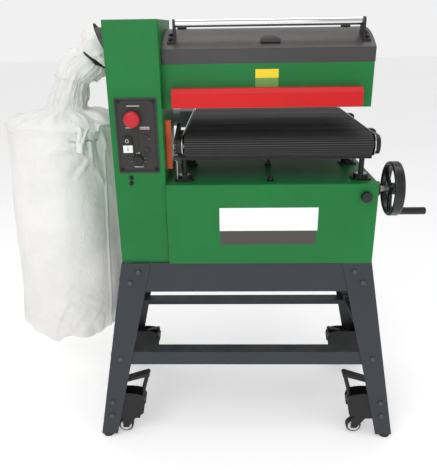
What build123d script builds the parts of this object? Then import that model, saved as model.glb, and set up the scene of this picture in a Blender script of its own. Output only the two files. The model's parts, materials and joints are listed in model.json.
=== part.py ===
from build123d import *
import os
from math import cos, pi, radians, sin, sqrt

# Bench-height drum sander on a splayed stand. Millimetres. X runs along the drum, Y away from the
# operator at the infeed side, Z up. The model is drawn about the middle of the stand's feet and moved
# at the end so that its origin is the bottom centre of its bounding box.

# ---- Fits ----
RUN = 0.1          # radial running clearance of shafts, pins and screws
FREE = 0.3         # gap between moving pieces that never carry load
BOLT_GAP = 0.2     # radial clearance of bolts in their holes
REVEAL = 1.0       # gap beside a moving cover

# ---- Working size ----
WORK_W = 450.0     # widest board that can be sanded
DRUM_R = 65.0      # outside radius over the abrasive
STRIP_T = 1.2      # abrasive thickness
BED_GAP = 59.5     # belt to drum at rest

# ---- Stand ----
STAND_H = 535.0
SPLAY_X = 89.0     # how much wider the feet stand than the top, each side
SPLAY_Y = 69.0
TOP_HALF_Y = 142.0
LEG_T = 3.0
LEG_W_TOP = 79.0
LEG_W_FOOT = 46.0
LEG_Z0 = 12.0      # legs end on the rubber feet
RAIL_T = 2.5
TOP_RAIL_H = 82.0
TOP_RAIL_FLANGE = 25.0
LOW_RAIL_Z = 234.0
LOW_RAIL_H = 38.0
LOW_RAIL_FLANGE = 40.0
RAIL_END = 6.0     # gap between neighbouring rails at a corner
PAD_R = 16.0
STUD_R = 4.0
BOLT_R = 4.0

# ---- Casings ----
COLUMN_W = 132.0
COLUMN_H = 618.0
COLUMN_Y0 = -133.0
COLUMN_Y1 = 122.0
SHEET = 2.0
CABINET_H = 221.0
THROAT = 187.0     # cabinet top to the underside of the head
HEAD_Y0 = -99.0
HEAD_DEPTH = 300.0
HEAD_H = 107.0
HEAD_T = 3.0
END_PLATE = 8.0
HOOD_BAND = 34.0   # straight part of the hood below the arc
HOOD_RISE = 46.0
GUARD_DEPTH = 38.0
GUARD_H = 45.0
GUARD_T = 2.5

# ---- Derived frame lines ----
HEAD_L = WORK_W + 69.0
TOP_HALF_X = (COLUMN_W + HEAD_L + 29.0) / 2
COLUMN_X0 = -TOP_HALF_X
COLUMN_X1 = COLUMN_X0 + COLUMN_W
COLUMN_Z1 = STAND_H + COLUMN_H
CABINET_Z1 = STAND_H + CABINET_H
HEAD_X1 = COLUMN_X1 + HEAD_L
HEAD_Y1 = HEAD_Y0 + HEAD_DEPTH
HEAD_Z0 = CABINET_Z1 + THROAT
HEAD_Z1 = HEAD_Z0 + HEAD_H
DRUM_Y = (HEAD_Y0 + HEAD_Y1) / 2
DRUM_Z = HEAD_Z0 - 6.0 + DRUM_R
DRUM_X1 = HEAD_X1 - END_PLATE - 19.0
DRUM_X0 = DRUM_X1 - WORK_W
DRUM_SHAFT_R = 12.5
BEARING_T = 15.0
BEARING_R = 24.0

# ---- Conveyor table ----
BELT_W = WORK_W + 25.0
BELT_T = 3.0
BELT_X0 = COLUMN_X1 + 51.0
BELT_X1 = BELT_X0 + BELT_W
BELT_Z = DRUM_Z - DRUM_R - BED_GAP
ROLLER_R = 25.0
INFEED = 156.0         # front roller to the drum's axis
ROLLER_SPAN = 475.0
ROLLER_Z = BELT_Z - BELT_T - ROLLER_R
ROLLER_Y0 = DRUM_Y - INFEED
ROLLER_Y1 = ROLLER_Y0 + ROLLER_SPAN
JOURNAL_R = 8.0
SIDE_GAP = 4.0
SIDE_T = 3.0
SIDE_R = ROLLER_R + 2.0
BED_T = 6.0
CROSS_T = 8.0
CROSS_W = 26.0
CROSS_Z1 = ROLLER_Z - ROLLER_R - BELT_T - 2.5
CROSS_Z0 = CROSS_Z1 - CROSS_T
BLOCK_W = 20.0
NOSE_T = 12.0          # bearing noses beside the front roller
NOSE_L = 45.0
PRESS_R = 12.5
PRESS_Y = 90.0

# ---- Lift ----
LIFT_Y = 85.0
LIFT_X0 = BELT_X0 - 5.0
LIFT_X1 = BELT_X1 - 15.0
SCREW_R = 7.0
SLEEVE_R = SCREW_R + 5.0
FLANGE_W = 49.0
FLANGE_T = 14.0
COLLAR_R = SLEEVE_R + 4.0
SLEEVE_BELOW = 84.0      # sleeve length under the cabinet top
SPROCKET_R = 30.0
SPROCKET_T = 6.0
CHAIN_T = 4.0
CHAIN_DROP = 73.0        # chain line under the cabinet top
SCREW_TAIL = 116.0       # screw length below the cabinet top at rest
MITRE_R = 24.0
MITRE_FACE = 10.0
CRANK_DROP = 30.0        # crank axis under the cabinet top
CRANK_R = 8.0
WHEEL_R = 72.5
RIM_T = 10.0
HUB_R = 16.0
WHEEL_X0 = TOP_HALF_X + 37.0
WHEEL_W = 27.0
GRIP_R = 10.0
GRIP_L = 72.0
GRIP_THROW = 63.0
SPINDLE_R = 5.0
LOCK_R = 14.0
LOCK_ROD_R = 5.0

# ---- Drives ----
MOTOR_R = 58.0
MOTOR_L = 226.0
MOTOR_Z = STAND_H + 72.0
MOTOR_SHAFT_R = 9.5
MOTOR_PULLEY_R = 32.0
DRUM_PULLEY_R = 62.0
PULLEY_W = 24.0
PULLEY_X = COLUMN_X1 - 67.0
VBELT_W = 13.0
VBELT_T = 9.0
GEARBOX = 62.0
FEED_R = 32.0
FEED_L = 72.0

# ---- Fan, port and bag ----
FAN_X = COLUMN_X0 + 57.0
FAN_DROP = 87.0          # fan axis under the column top
FAN_R = 72.0
FAN_W = 102.0
IMPELLER_R = 58.0
PORT_R = 50.0
PORT_DROP = 65.0         # duct axis under the column top
PORT_TILT = 37.0
MOUTH_OUT = 65.0         # mitred mouth to the column's side
STUB_R = 42.0
STUB_L = 72.0
NECK_R = 45.0
CLAMP_W = 18.0
CLAMP_T = 3.0
BAG_R = 170.0
BAG_TOP_DROP = 260.0     # bag shoulder under the column top
BAG_L = 715.0
BAG_LEAN = 38.0
BAG_OUT = 87.0           # bag's centre beyond the stub's end

# ---- Controls ----
PANEL_W = 104.0
PANEL_H = 187.0
PANEL_T = 3.0
PANEL_Z0 = STAND_H + 253.0
PANEL_INSET = 15.0
STOP_R = 20.0
KEY_W = 24.0
KEY_H = 19.0
KNOB_R = 13.0
STEM_R = 5.0

# ---- Handle and latch ----
BAR_R = 9.5
BAR_Z_ABOVE = 13.0       # bar centre above the hood's crown
BAR_Y = DRUM_Y - 111.0
LUG_T = 5.0
LUG_FOOT = 20.0
LATCH_R = 25.0
LATCH_Y = DRUM_Y - 126.0
PIN_R = 3.0
KNUCKLE_R = 6.5
HINGE_LEAF = 50.0

# ---- Casters ----
CASTER_IN_X = 90.0       # swivel axis in from the foot corner
CASTER_IN_Y = 31.0
CASTER_R = 22.0
CASTER_W = 18.0
CASTER_LIFT = 4.0        # wheels clear the floor until the pedal is pressed
TRAIL = 19.0
FORK_T = 2.5
FORK_TOP = 54.0
LEVER_Z = 57.0
LEVER_T = 4.0
LEVER_HINGE_X = 34.0     # hinge in from the swivel axis
LEVER_HINGE_Z = 112.0
LEVER_PIN_R = 5.0
PEDAL_R = 6.0
FOOT_R = 7.0
PEDAL_RISE = 82.0        # foot plate above the hinge on the front casters
LOW_PEDAL_RISE = 26.0    # and on the rear ones
BRACKET_Z0 = 62.0
BRACKET_Z1 = 140.0
BRACKET_T = 3.0

CORNERS = [(-1, -1, "front_left"), (1, -1, "front_right"), (-1, 1, "rear_left"), (1, 1, "rear_right")]
FAR = 900.0


# ---- Drawing helpers ----
def block(x0, x1, y0, y1, z0, z1):
    return Pos((x0 + x1) / 2, (y0 + y1) / 2, (z0 + z1) / 2) * Box(x1 - x0, y1 - y0, z1 - z0)


def rod_x(x0, x1, y, z, r):
    return Pos((x0 + x1) / 2, y, z) * Rot(0, 90, 0) * Cylinder(r, x1 - x0)


def rod_y(y0, y1, x, z, r):
    return Pos(x, (y0 + y1) / 2, z) * Rot(90, 0, 0) * Cylinder(r, y1 - y0)


def rod_z(z0, z1, x, y, r):
    return Pos(x, y, (z0 + z1) / 2) * Cylinder(r, z1 - z0)


def bar(p, q, r):
    """Round bar between two points."""
    a, b = Vector(*p), Vector(*q)
    return Plane(origin=(a + b) * 0.5, z_dir=b - a) * Cylinder(r, (b - a).length)


def slab_y(points, y0, y1):
    """Plate of the outline points (x, z), from y0 to y1."""
    face = Polygon(*[(x, -z) for x, z in points], align=None).face()
    placed = Plane(origin=(0, y0, 0), x_dir=(1, 0, 0), z_dir=(0, 1, 0)) * face
    return extrude(placed, y1 - y0, dir=(0, 1, 0))


def slab_x(face_yz, x0, x1):
    """Extrude a sketch drawn in (y, z) along X."""
    placed = Plane(origin=(x0, 0, 0), x_dir=(0, 1, 0), z_dir=(1, 0, 0)) * face_yz
    return extrude(placed, x1 - x0, dir=(1, 0, 0))


def stadium(y0, y1, z, r):
    """Sketch in (y, z): a slot outline about two roller centres."""
    straight = Pos((y0 + y1) / 2, z) * Rectangle(y1 - y0, 2 * r)
    return straight + Pos(y0, z) * Circle(r) + Pos(y1, z) * Circle(r)


def four(shape):
    """The same piece in all four corners, drawn in the +X +Y one."""
    near = mirror(shape, about=Plane.XZ)
    return [shape, near, mirror(shape, about=Plane.YZ), mirror(near, about=Plane.YZ)]


def corner(shape, sx, sy):
    """A piece drawn in the +X +Y corner, mirrored to another."""
    if sx < 0:
        shape = mirror(shape, about=Plane.YZ)
    if sy < 0:
        shape = mirror(shape, about=Plane.XZ)
    return shape


def half_x(z):
    """Half of the stand's width at a height; half_y gives its depth."""
    return TOP_HALF_X + SPLAY_X * (1 - z / STAND_H)


def half_y(z):
    return TOP_HALF_Y + SPLAY_Y * (1 - z / STAND_H)


def splayed(inset, z0, z1):
    """The stand's tapering outline, drawn in by inset."""
    rings = []
    for z in (z0, z1):
        sketch = Pos(0, 0, z) * Rectangle(2 * (half_x(z) - inset), 2 * (half_y(z) - inset))
        rings.append(sketch.face())
    return loft(rings, ruled=True)


def splayed_wall(inset, t, z0, z1):
    return splayed(inset, z0, z1) - splayed(inset + t, z0 - 1, z1 + 1)


# ---- Stand ----
def leg_width(z):
    return LEG_W_FOOT + (LEG_W_TOP - LEG_W_FOOT) * z / STAND_H


def front_site(x, z):
    """Bolt place on the stand's Y face, in the +X +Y corner."""
    return Plane(origin=(x, half_y(z), z), x_dir=(1, 0, 0), z_dir=(0, 1, SPLAY_Y / STAND_H))


def side_site(y, z):
    return Plane(origin=(half_x(z), y, z), x_dir=(0, 1, 0), z_dir=(1, 0, SPLAY_X / STAND_H))


HIGH_BOLT_Z = STAND_H - 25.0
MID_BOLT_Z = STAND_H - 56.0
LOW_BOLT_Z = LOW_RAIL_Z + 18.0
STAND_BOLTS = [
    front_site(half_x(HIGH_BOLT_Z) - 49, HIGH_BOLT_Z),
    front_site(half_x(MID_BOLT_Z) - 30, MID_BOLT_Z),
    front_site(half_x(LOW_BOLT_Z) - 29, LOW_BOLT_Z),
    side_site(half_y(HIGH_BOLT_Z) - 38, HIGH_BOLT_Z),
    side_site(half_y(MID_BOLT_Z) - 28, MID_BOLT_Z),
    side_site(half_y(LOW_BOLT_Z) - 29, LOW_BOLT_Z),
]
CASTER_BOLTS = [front_site(half_x(114) - 21, 114), front_site(half_x(72) - 24, 72)]
PAD_X = half_x(0) - LEG_T - PAD_R
PAD_Y = half_y(0) - LEG_T - PAD_R


def bolt_holes(sites):
    return [site * Cylinder(BOLT_R + BOLT_GAP, 30) for site in sites]


def leg():
    wall = splayed_wall(0, LEG_T, LEG_Z0, STAND_H)
    prism = []
    for z in (LEG_Z0, STAND_H):
        w = leg_width(z)
        sketch = Pos(half_x(z) - w / 2, half_y(z) - w / 2, z) * Rectangle(w, w)
        prism.append(sketch.face())
    angle = wall & loft(prism, ruled=True)
    foot = block(PAD_X - PAD_R, FAR, PAD_Y - PAD_R, FAR, LEG_Z0, LEG_Z0 + LEG_T)
    angle += foot & splayed(LEG_T / 2, LEG_Z0, STAND_H)
    angle -= rod_z(0, 40, PAD_X, PAD_Y, STUD_R + BOLT_GAP)
    for hole in bolt_holes(STAND_BOLTS + CASTER_BOLTS):
        angle -= hole
    return angle


def rails(z0, z1, flange):
    """One end rail and one side rail of a frame, drawn in full."""
    web = splayed_wall(LEG_T, RAIL_T, z0, z1)
    top = splayed(LEG_T, z1 - RAIL_T, z1) - block(
        -half_x(z1) + LEG_T + flange, half_x(z1) - LEG_T - flange,
        -half_y(z1) + LEG_T + flange, half_y(z1) - LEG_T - flange, z1 - RAIL_T - 1, z1 + 1)
    web_x = half_x(z1) - LEG_T - RAIL_T - RAIL_END
    web_y = half_y(z1) - LEG_T - RAIL_T - RAIL_END
    flange_x = half_x(z1) - LEG_T - flange - 2
    flange_y = half_y(z1) - LEG_T - flange - 2
    long_rail = web & block(-web_x, web_x, 0, FAR, z0, z1)
    long_rail += top & block(-flange_x, flange_x, 0, FAR, z0, z1)
    side_rail = web & block(0, FAR, -web_y, web_y, z0, z1)
    side_rail += top & block(0, FAR, -flange_y, flange_y, z0, z1)
    for hole in bolt_holes(STAND_BOLTS):
        for sign in (-1, 1):
            long_rail -= hole if sign > 0 else mirror(hole, about=Plane.YZ)
            side_rail -= hole if sign > 0 else mirror(hole, about=Plane.XZ)
    return [long_rail, mirror(long_rail, about=Plane.XZ), side_rail, mirror(side_rail, about=Plane.YZ)]


def foot_pad():
    pad = rod_z(0, LEG_Z0, PAD_X, PAD_Y, PAD_R)
    pad = fillet(pad.edges().group_by(Axis.Z)[-1], 5)
    return pad + rod_z(LEG_Z0 - 1, LEG_Z0 + LEG_T + 9, PAD_X, PAD_Y, STUD_R)


def carriage_bolt(site, grip):
    head = fillet((Pos(0, 0, 2.25) * Cylinder(2 * BOLT_R, 4.5)).edges().group_by(Axis.Z)[-1], 3.5)
    shank = Pos(0, 0, -(grip + 9) / 2 + 1) * Cylinder(BOLT_R, grip + 11)
    return site * (head + shank)


def hex_nut(site, depth, r=BOLT_R, thick=6.0):
    nut = Pos(0, 0, -depth - thick / 2) * extrude(RegularPolygon(1.9 * r, 6), thick / 2, both=True)
    return site * (nut - Cylinder(r, 60))


def fasteners():
    made = []
    for site in STAND_BOLTS:
        grip = LEG_T + RAIL_T
        made += four(carriage_bolt(site, grip)) + four(hex_nut(site, grip))
    for site in CASTER_BOLTS:
        grip = LEG_T + BRACKET_T
        made += four(carriage_bolt(site, grip)) + four(hex_nut(site, grip))
    stud = Plane(origin=(PAD_X, PAD_Y, LEG_Z0 + LEG_T))
    made += four(hex_nut(stud, -6.0, STUD_R))
    for x in HINGE_X:
        pin = rod_x(x - HINGE_LEAF / 2, x + HINGE_LEAF / 2, HINGE_Y, HINGE_Z, PIN_R)
        made.append(pin)
    return made


# ---- Casters ----
CASTER_X = half_x(0) - CASTER_IN_X
CASTER_Y = half_y(0) - CASTER_IN_Y
LEVER_X = CASTER_X - LEVER_HINGE_X
LEVER_Y0 = CASTER_Y - 20.0
LEVER_Y1 = CASTER_Y + 7.0
ROD_Y = CASTER_Y - 10.0
AXLE_Z = CASTER_R + CASTER_LIFT
CHEEK_Y = LEVER_Y0 - 7.0


def caster_bracket():
    """Folded plate inside the leg and the cheek that holds the lever's pin, both with cut corners."""
    outline = [(FAR, BRACKET_Z0), (CASTER_X - 14, BRACKET_Z0), (LEVER_X - 4, BRACKET_Z0 + 14),
               (LEVER_X - 10, LEVER_HINGE_Z), (LEVER_X - 5, BRACKET_Z1 - 7), (LEVER_X + 14, BRACKET_Z1 - 2),
               (LEVER_X + 30, BRACKET_Z1), (FAR, BRACKET_Z1)]
    wall = splayed_wall(LEG_T, BRACKET_T, BRACKET_Z0, BRACKET_Z1)
    cheek = block(LEVER_X - 12, FAR, CHEEK_Y - BRACKET_T, CHEEK_Y, BRACKET_Z0, BRACKET_Z1)
    body = (wall & slab_y(outline, CHEEK_Y, FAR)) + (
        cheek & slab_y(outline, CHEEK_Y - BRACKET_T, FAR) & splayed(LEG_T, BRACKET_Z0, BRACKET_Z1))
    pin = rod_y(CHEEK_Y - BRACKET_T - 2, FAR, LEVER_X, LEVER_HINGE_Z, LEVER_PIN_R)
    body += pin & splayed(LEG_T, BRACKET_Z0, BRACKET_Z1)
    for hole in bolt_holes(CASTER_BOLTS):
        body -= hole
    return body


def caster_lever(rise, foot_in):
    """Foot plate, rod and swivel plate in one piece that turns about the bracket's pin."""
    plate = block(LEVER_X + 8, CASTER_X + 33, CASTER_Y - 15, CASTER_Y + 15, LEVER_Z, LEVER_Z + LEVER_T)
    sleeve = rod_y(LEVER_Y0, LEVER_Y1, LEVER_X, LEVER_HINGE_Z, LEVER_PIN_R + 4)
    web = slab_y([(LEVER_X - 5, LEVER_HINGE_Z), (LEVER_X + 8, LEVER_Z), (LEVER_X + 26, LEVER_Z),
                  (LEVER_X + 26, LEVER_Z + LEVER_T), (LEVER_X + 9, LEVER_HINGE_Z + 12),
                  (LEVER_X, LEVER_HINGE_Z + 8)], ROD_Y - 3, ROD_Y + 3)
    knee = (LEVER_X + 4 - 0.28 * rise, ROD_Y, LEVER_HINGE_Z + rise)
    arm = bar((LEVER_X + 4, ROD_Y, LEVER_HINGE_Z), knee, PEDAL_R)
    y0, y1 = ROD_Y - foot_in, ROD_Y + 8
    roll = rod_y(y0, y1, knee[0], knee[2], FOOT_R)
    toe_x, toe_z = LEVER_X + 40, LEVER_HINGE_Z + 0.84 * rise
    outline = [(knee[0], knee[2] + FOOT_R), (knee[0], knee[2] - 3), (toe_x, toe_z - 8), (toe_x, toe_z)]
    foot = slab_y(outline, y0, y1)
    lever = plate + sleeve + web + arm + roll + foot
    lever -= rod_y(LEVER_Y0 - 1, LEVER_Y1 + 1, LEVER_X, LEVER_HINGE_Z, LEVER_PIN_R + RUN)
    return lever - rod_z(LEVER_Z - 1, LEVER_Z + LEVER_T + 1, CASTER_X, CASTER_Y, LEVER_PIN_R + RUN)


def caster_fork(sx):
    """The wheel trails towards -X on every caster."""
    cx = sx * CASTER_X
    wx = cx - TRAIL
    half = CASTER_W / 2 + 1 + FORK_T
    fork = rod_z(FORK_TOP, LEVER_Z - FREE, cx, CASTER_Y, 15)
    fork += block(wx - 9, cx + 11, CASTER_Y - half, CASTER_Y + half, FORK_TOP - FORK_T, FORK_TOP)
    for side in (-1, 1):
        y = CASTER_Y + side * (half - FORK_T / 2)
        outline = [(wx - 8, AXLE_Z - 6), (wx + 8, AXLE_Z - 6), (cx + 11, FORK_TOP), (wx - 9, FORK_TOP)]
        fork += slab_y(outline, y - FORK_T / 2, y + FORK_T / 2)
    fork += rod_y(CASTER_Y - half - 1, CASTER_Y + half + 1, wx, AXLE_Z, 3)
    fork += rod_z(FORK_TOP, LEVER_Z + LEVER_T + 4, cx, CASTER_Y, LEVER_PIN_R)
    return fork + rod_z(LEVER_Z + LEVER_T + FREE, LEVER_Z + LEVER_T + 4, cx, CASTER_Y, 8)


def caster_wheel(sx):
    wx = sx * CASTER_X - TRAIL
    wheel = rod_y(CASTER_Y - CASTER_W / 2, CASTER_Y + CASTER_W / 2, wx, AXLE_Z, CASTER_R)
    wheel = fillet(wheel.edges().filter_by(GeomType.CIRCLE), 3)
    return wheel - rod_y(CASTER_Y - 30, CASTER_Y + 30, wx, AXLE_Z, 3 + RUN)


# ---- Casings ----
LIFT_SITES = [(LIFT_X0, -LIFT_Y, "front_left"), (LIFT_X1, -LIFT_Y, "front_right"),
              (LIFT_X0, LIFT_Y, "rear_left"), (LIFT_X1, LIFT_Y, "rear_right")]
CRANK_Z = CABINET_Z1 - CRANK_DROP
LOCK_X = LIFT_X1 + 5.0
LOCK_Z = CRANK_Z - 3.0
VENT_Z = HEAD_Z1 + 35.0
FAN_Z = COLUMN_Z1 - FAN_DROP


def base_cabinet():
    shell = block(COLUMN_X1, TOP_HALF_X, -TOP_HALF_Y, TOP_HALF_Y, STAND_H, CABINET_Z1)
    shell = fillet(shell.edges().filter_by(Axis.X).group_by(Axis.Z)[-1], 4)
    shell = fillet(shell.edges().filter_by(Axis.Z).group_by(Axis.X)[-1], 3)
    shell -= block(COLUMN_X1 + SHEET, TOP_HALF_X - SHEET, SHEET - TOP_HALF_Y, TOP_HALF_Y - SHEET,
                   STAND_H - 1, CABINET_Z1 - SHEET)
    for x, y, _ in LIFT_SITES:
        shell -= rod_z(CABINET_Z1 - 9, CABINET_Z1 + 1, x, y, SLEEVE_R + 1)
    shell -= rod_x(COLUMN_X1 - 1, COLUMN_X1 + 9, 0, MOTOR_Z, MOTOR_SHAFT_R + 4)
    shell -= rod_x(TOP_HALF_X - 9, TOP_HALF_X + 1, -LIFT_Y, CRANK_Z, CRANK_R + 3)
    return shell - rod_y(-TOP_HALF_Y - 1, 9 - TOP_HALF_Y, LOCK_X, LOCK_Z, LOCK_ROD_R + RUN)


def drive_column():
    shell = block(COLUMN_X0, COLUMN_X1, COLUMN_Y0, COLUMN_Y1, STAND_H, COLUMN_Z1)
    shell = fillet(shell.edges().filter_by(Axis.Z).group_by(Axis.Y)[0], 3)
    shell = fillet(shell.edges().group_by(Axis.Z)[-1].filter_by(Axis.X).group_by(Axis.Y)[0], 3)
    shell -= block(COLUMN_X0 + SHEET, COLUMN_X1 - SHEET, COLUMN_Y0 + SHEET, COLUMN_Y1 + 1,
                   STAND_H + SHEET, COLUMN_Z1 - SHEET)
    shell -= rod_x(COLUMN_X1 - 9, COLUMN_X1 + 1, 0, MOTOR_Z, MOTOR_SHAFT_R + 4)
    shell -= rod_x(COLUMN_X1 - 9, COLUMN_X1 + 1, DRUM_Y, DRUM_Z, DRUM_SHAFT_R + 2)
    shell -= rod_x(COLUMN_X1 - 9, COLUMN_X1 + 1, DRUM_Y - 60, VENT_Z, 18)
    for x, z, r in STEMS:
        shell -= rod_y(COLUMN_Y0 - 1, COLUMN_Y0 + 9, x, z, r + 2)
    return shell


def column_back_cover():
    cover = block(COLUMN_X0, COLUMN_X1, COLUMN_Y1, COLUMN_Y1 + SHEET, STAND_H, COLUMN_Z1)
    return cover - rod_y(COLUMN_Y1 - 1, COLUMN_Y1 + 9, FAN_X, FAN_Z, 36)


PANEL_X0 = COLUMN_X0 + PANEL_INSET
PANEL_X1 = PANEL_X0 + PANEL_W
PANEL_Z1 = PANEL_Z0 + PANEL_H
PANEL_Y = COLUMN_Y0 - PANEL_T
STOP_AT = (PANEL_X0 + 44.0, PANEL_Z1 - 49.5)
OFF_AT = (PANEL_X0 + 26.5, PANEL_Z0 + 83.5)
ON_AT = (PANEL_X0 + 28.0, PANEL_Z0 + 63.0)
KNOB_AT = (PANEL_X0 + 51.0, PANEL_Z0 + 34.0)
FUSES = [(PANEL_X1 - 28.5, PANEL_Z0 + 91.0), (PANEL_X1 - 28.5, PANEL_Z0 + 59.0)]
STEMS = [(*STOP_AT, 8.0), (*OFF_AT, STEM_R), (*ON_AT, STEM_R), (*KNOB_AT, STEM_R)]


def control_panel():
    plate = block(PANEL_X0, PANEL_X1, PANEL_Y, COLUMN_Y0, PANEL_Z0, PANEL_Z1)
    for x, z, r in STEMS:
        plate -= rod_y(PANEL_Y - 1, COLUMN_Y0 + 1, x, z, r + FREE)
    for x, z in FUSES:
        plate += fillet(rod_y(PANEL_Y - 6, PANEL_Y + 1, x, z, 6.5).edges().group_by(Axis.Y)[0], 2)
    return plate


def stop_button():
    x, z = STOP_AT
    cap = fillet(rod_y(PANEL_Y - 26, PANEL_Y - 14, x, z, STOP_R).edges().group_by(Axis.Y)[0], 8)
    return cap + rod_y(PANEL_Y - 15, COLUMN_Y0 + 12, x, z, 8)


def push_key(at):
    x, z = at
    cap = block(x - KEY_W / 2, x + KEY_W / 2, PANEL_Y - 8, PANEL_Y - 4, z - KEY_H / 2, z + KEY_H / 2)
    return chamfer(cap.edges().group_by(Axis.Y)[0], 1) + rod_y(PANEL_Y - 5, COLUMN_Y0 + 12, x, z, STEM_R)


def speed_knob():
    x, z = KNOB_AT
    knob = rod_y(PANEL_Y - 15, PANEL_Y - 1, x, z, KNOB_R)
    knob = chamfer(knob.edges().group_by(Axis.Y)[0], 1.5)
    knob -= block(x - 1, x + 1, PANEL_Y - 16, PANEL_Y - 13.5, z, z + KNOB_R)
    return knob + rod_y(PANEL_Y - 2, COLUMN_Y0 + 12, x, z, STEM_R)


# ---- Sanding head ----
HINGE_Y = HEAD_Y1 + 8.0
HINGE_Z = HEAD_Z1 + 2.0
HINGE_X = (COLUMN_X1 + 100.0, HEAD_X1 - 90.0)
HOOD_Z0 = HEAD_Z1 + FREE
HOOD_Z1 = HEAD_Z1 + HOOD_BAND
CROWN_Z = HOOD_Z1 + HOOD_RISE
HOOD_R = ((HEAD_DEPTH / 2) ** 2 + HOOD_RISE ** 2) / (2 * HOOD_RISE)
ARC_Z = CROWN_Z - HOOD_R
PRESS_Z = DRUM_Z - DRUM_R - 1.5 + PRESS_R


def hood_height(y):
    return ARC_Z + sqrt(HOOD_R ** 2 - (y - DRUM_Y) ** 2)


def head_casing():
    tub = block(COLUMN_X1, HEAD_X1, HEAD_Y0, HEAD_Y1, HEAD_Z0, HEAD_Z1)
    tub -= block(COLUMN_X1 + HEAD_T, HEAD_X1 - END_PLATE, HEAD_Y0 + HEAD_T, HEAD_Y1 - HEAD_T,
                 HEAD_Z0 - 1, HEAD_Z1 + 1)
    for side in (-1, 1):
        wall_y = DRUM_Y + side * (HEAD_DEPTH / 2 - HEAD_T / 2)
        lip_y = wall_y - side * 18
        tub += block(COLUMN_X1, HEAD_X1, min(wall_y, lip_y), max(wall_y, lip_y), HEAD_Z0, HEAD_Z0 + HEAD_T)
    tub -= rod_x(COLUMN_X1 - 1, COLUMN_X1 + 9, DRUM_Y, DRUM_Z, DRUM_SHAFT_R + 2)
    tub -= rod_x(HEAD_X1 - END_PLATE - 1, HEAD_X1 - 3, DRUM_Y, DRUM_Z, DRUM_SHAFT_R + 2)
    for side in (-1, 1):
        y = DRUM_Y + side * PRESS_Y
        for x0, x1 in ((COLUMN_X1 + HEAD_T - 1, DRUM_X0 - 6), (DRUM_X1 + 6, HEAD_X1 - END_PLATE + 1)):
            lug = block(x0, x1, y - 10, y + 10, PRESS_Z - 9, PRESS_Z + 20)
            tub += lug - rod_x(x0 - 1, x1 + 1, y, PRESS_Z, 6 + RUN)
    for x in HINGE_X:
        x0, x1 = x - HINGE_LEAF / 2, x + HINGE_LEAF / 2
        gap = HINGE_LEAF / 6 + FREE
        leaf = block(x0, x1, HEAD_Y1 - 1, HEAD_Y1 + 3, HEAD_Z1 - 22, HEAD_Z1 - 1)
        knuckle = rod_x(x0, x1, HINGE_Y, HINGE_Z, KNUCKLE_R)
        arm = block(x0, x1, HEAD_Y1 - 1, HINGE_Y, HEAD_Z1 - 5, HEAD_Z1 - 1)
        tub += leaf + arm + knuckle - block(x - gap, x + gap, HEAD_Y1 + 0.5, FAR, HEAD_Z1 - 6, HEAD_Z1 + FAR)
        tub -= rod_x(x - HINGE_LEAF, x + HINGE_LEAF, HINGE_Y, HINGE_Z, PIN_R)
    return tub


def hood_outline(t):
    """Sketch in (y, z) of the hood's side, drawn in by t."""
    y0, y1 = HEAD_Y0 + t, HEAD_Y1 - t
    band = Pos(DRUM_Y, (HEAD_Z1 + HOOD_Z1) / 2) * Rectangle(y1 - y0, HOOD_Z1 - HEAD_Z1 + 2 * HOOD_RISE)
    round_top = Pos(DRUM_Y, ARC_Z) * Circle(HOOD_R - t)
    above = Pos(DRUM_Y, HOOD_Z0 + 200) * Rectangle(2 * HEAD_DEPTH, 400)
    return (Pos(0, HOOD_RISE) * band) & round_top & above


def dust_hood():
    x0, x1 = COLUMN_X1 + REVEAL, HEAD_X1 + 1
    hood = slab_x(hood_outline(0), x0, x1) - slab_x(hood_outline(SHEET), x0 + SHEET, x1 - SHEET)
    hood -= block(x0 + SHEET, x1 - SHEET, HEAD_Y0 + SHEET, HEAD_Y1 - SHEET, HOOD_Z0 - 1, HOOD_Z1)
    hood -= rod_x(x0 - 1, x0 + 9, DRUM_Y - 60, VENT_Z, 18)
    for x in HINGE_X:
        w = HINGE_LEAF / 6
        knuckle = rod_x(x - w, x + w, HINGE_Y, HINGE_Z, KNUCKLE_R)
        leaf = block(x - w, x + w, HEAD_Y1 - 1, HEAD_Y1 + 3, HINGE_Z + 2, HOOD_Z1 - 4)
        arm = block(x - w, x + w, HEAD_Y1 - 1, HINGE_Y, HINGE_Z + 2, HINGE_Z + 6)
        hood += leaf + arm + knuckle
        hood -= rod_x(x - w - 1, x + w + 1, HINGE_Y, HINGE_Z, PIN_R + RUN)
    return hood - latch_frame() * Cylinder(6 + FREE, 20)


def infeed_guard():
    y0, z0 = HEAD_Y0 - GUARD_DEPTH, HEAD_Z0 + 6
    outline = Polygon((HEAD_Y0, z0), (y0, z0), (y0, z0 + GUARD_H - 10), (y0 + 10, z0 + GUARD_H),
                      (HEAD_Y0, z0 + GUARD_H), align=None)
    inner = Polygon((HEAD_Y0 + 1, z0 - 1), (y0 + GUARD_T, z0 - 1), (y0 + GUARD_T, z0 + GUARD_H - 11),
                    (y0 + 11, z0 + GUARD_H - GUARD_T), (HEAD_Y0 + 1, z0 + GUARD_H - GUARD_T), align=None)
    x0, x1 = COLUMN_X1 + 25, HEAD_X1 - 30
    return slab_x(outline, x0, x1) - slab_x(inner, x0 + GUARD_T, x1 - GUARD_T)


def sanding_drum():
    drum = rod_x(DRUM_X0, DRUM_X1, DRUM_Y, DRUM_Z, DRUM_R - STRIP_T)
    drum -= rod_x(DRUM_X0 - 1, DRUM_X0 + 25, DRUM_Y, DRUM_Z, DRUM_R - 12)
    drum -= rod_x(DRUM_X1 - 25, DRUM_X1 + 1, DRUM_Y, DRUM_Z, DRUM_R - 12)
    return drum + rod_x(PULLEY_X - PULLEY_W / 2 - 4, HEAD_X1 - 5, DRUM_Y, DRUM_Z, DRUM_SHAFT_R)


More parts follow.
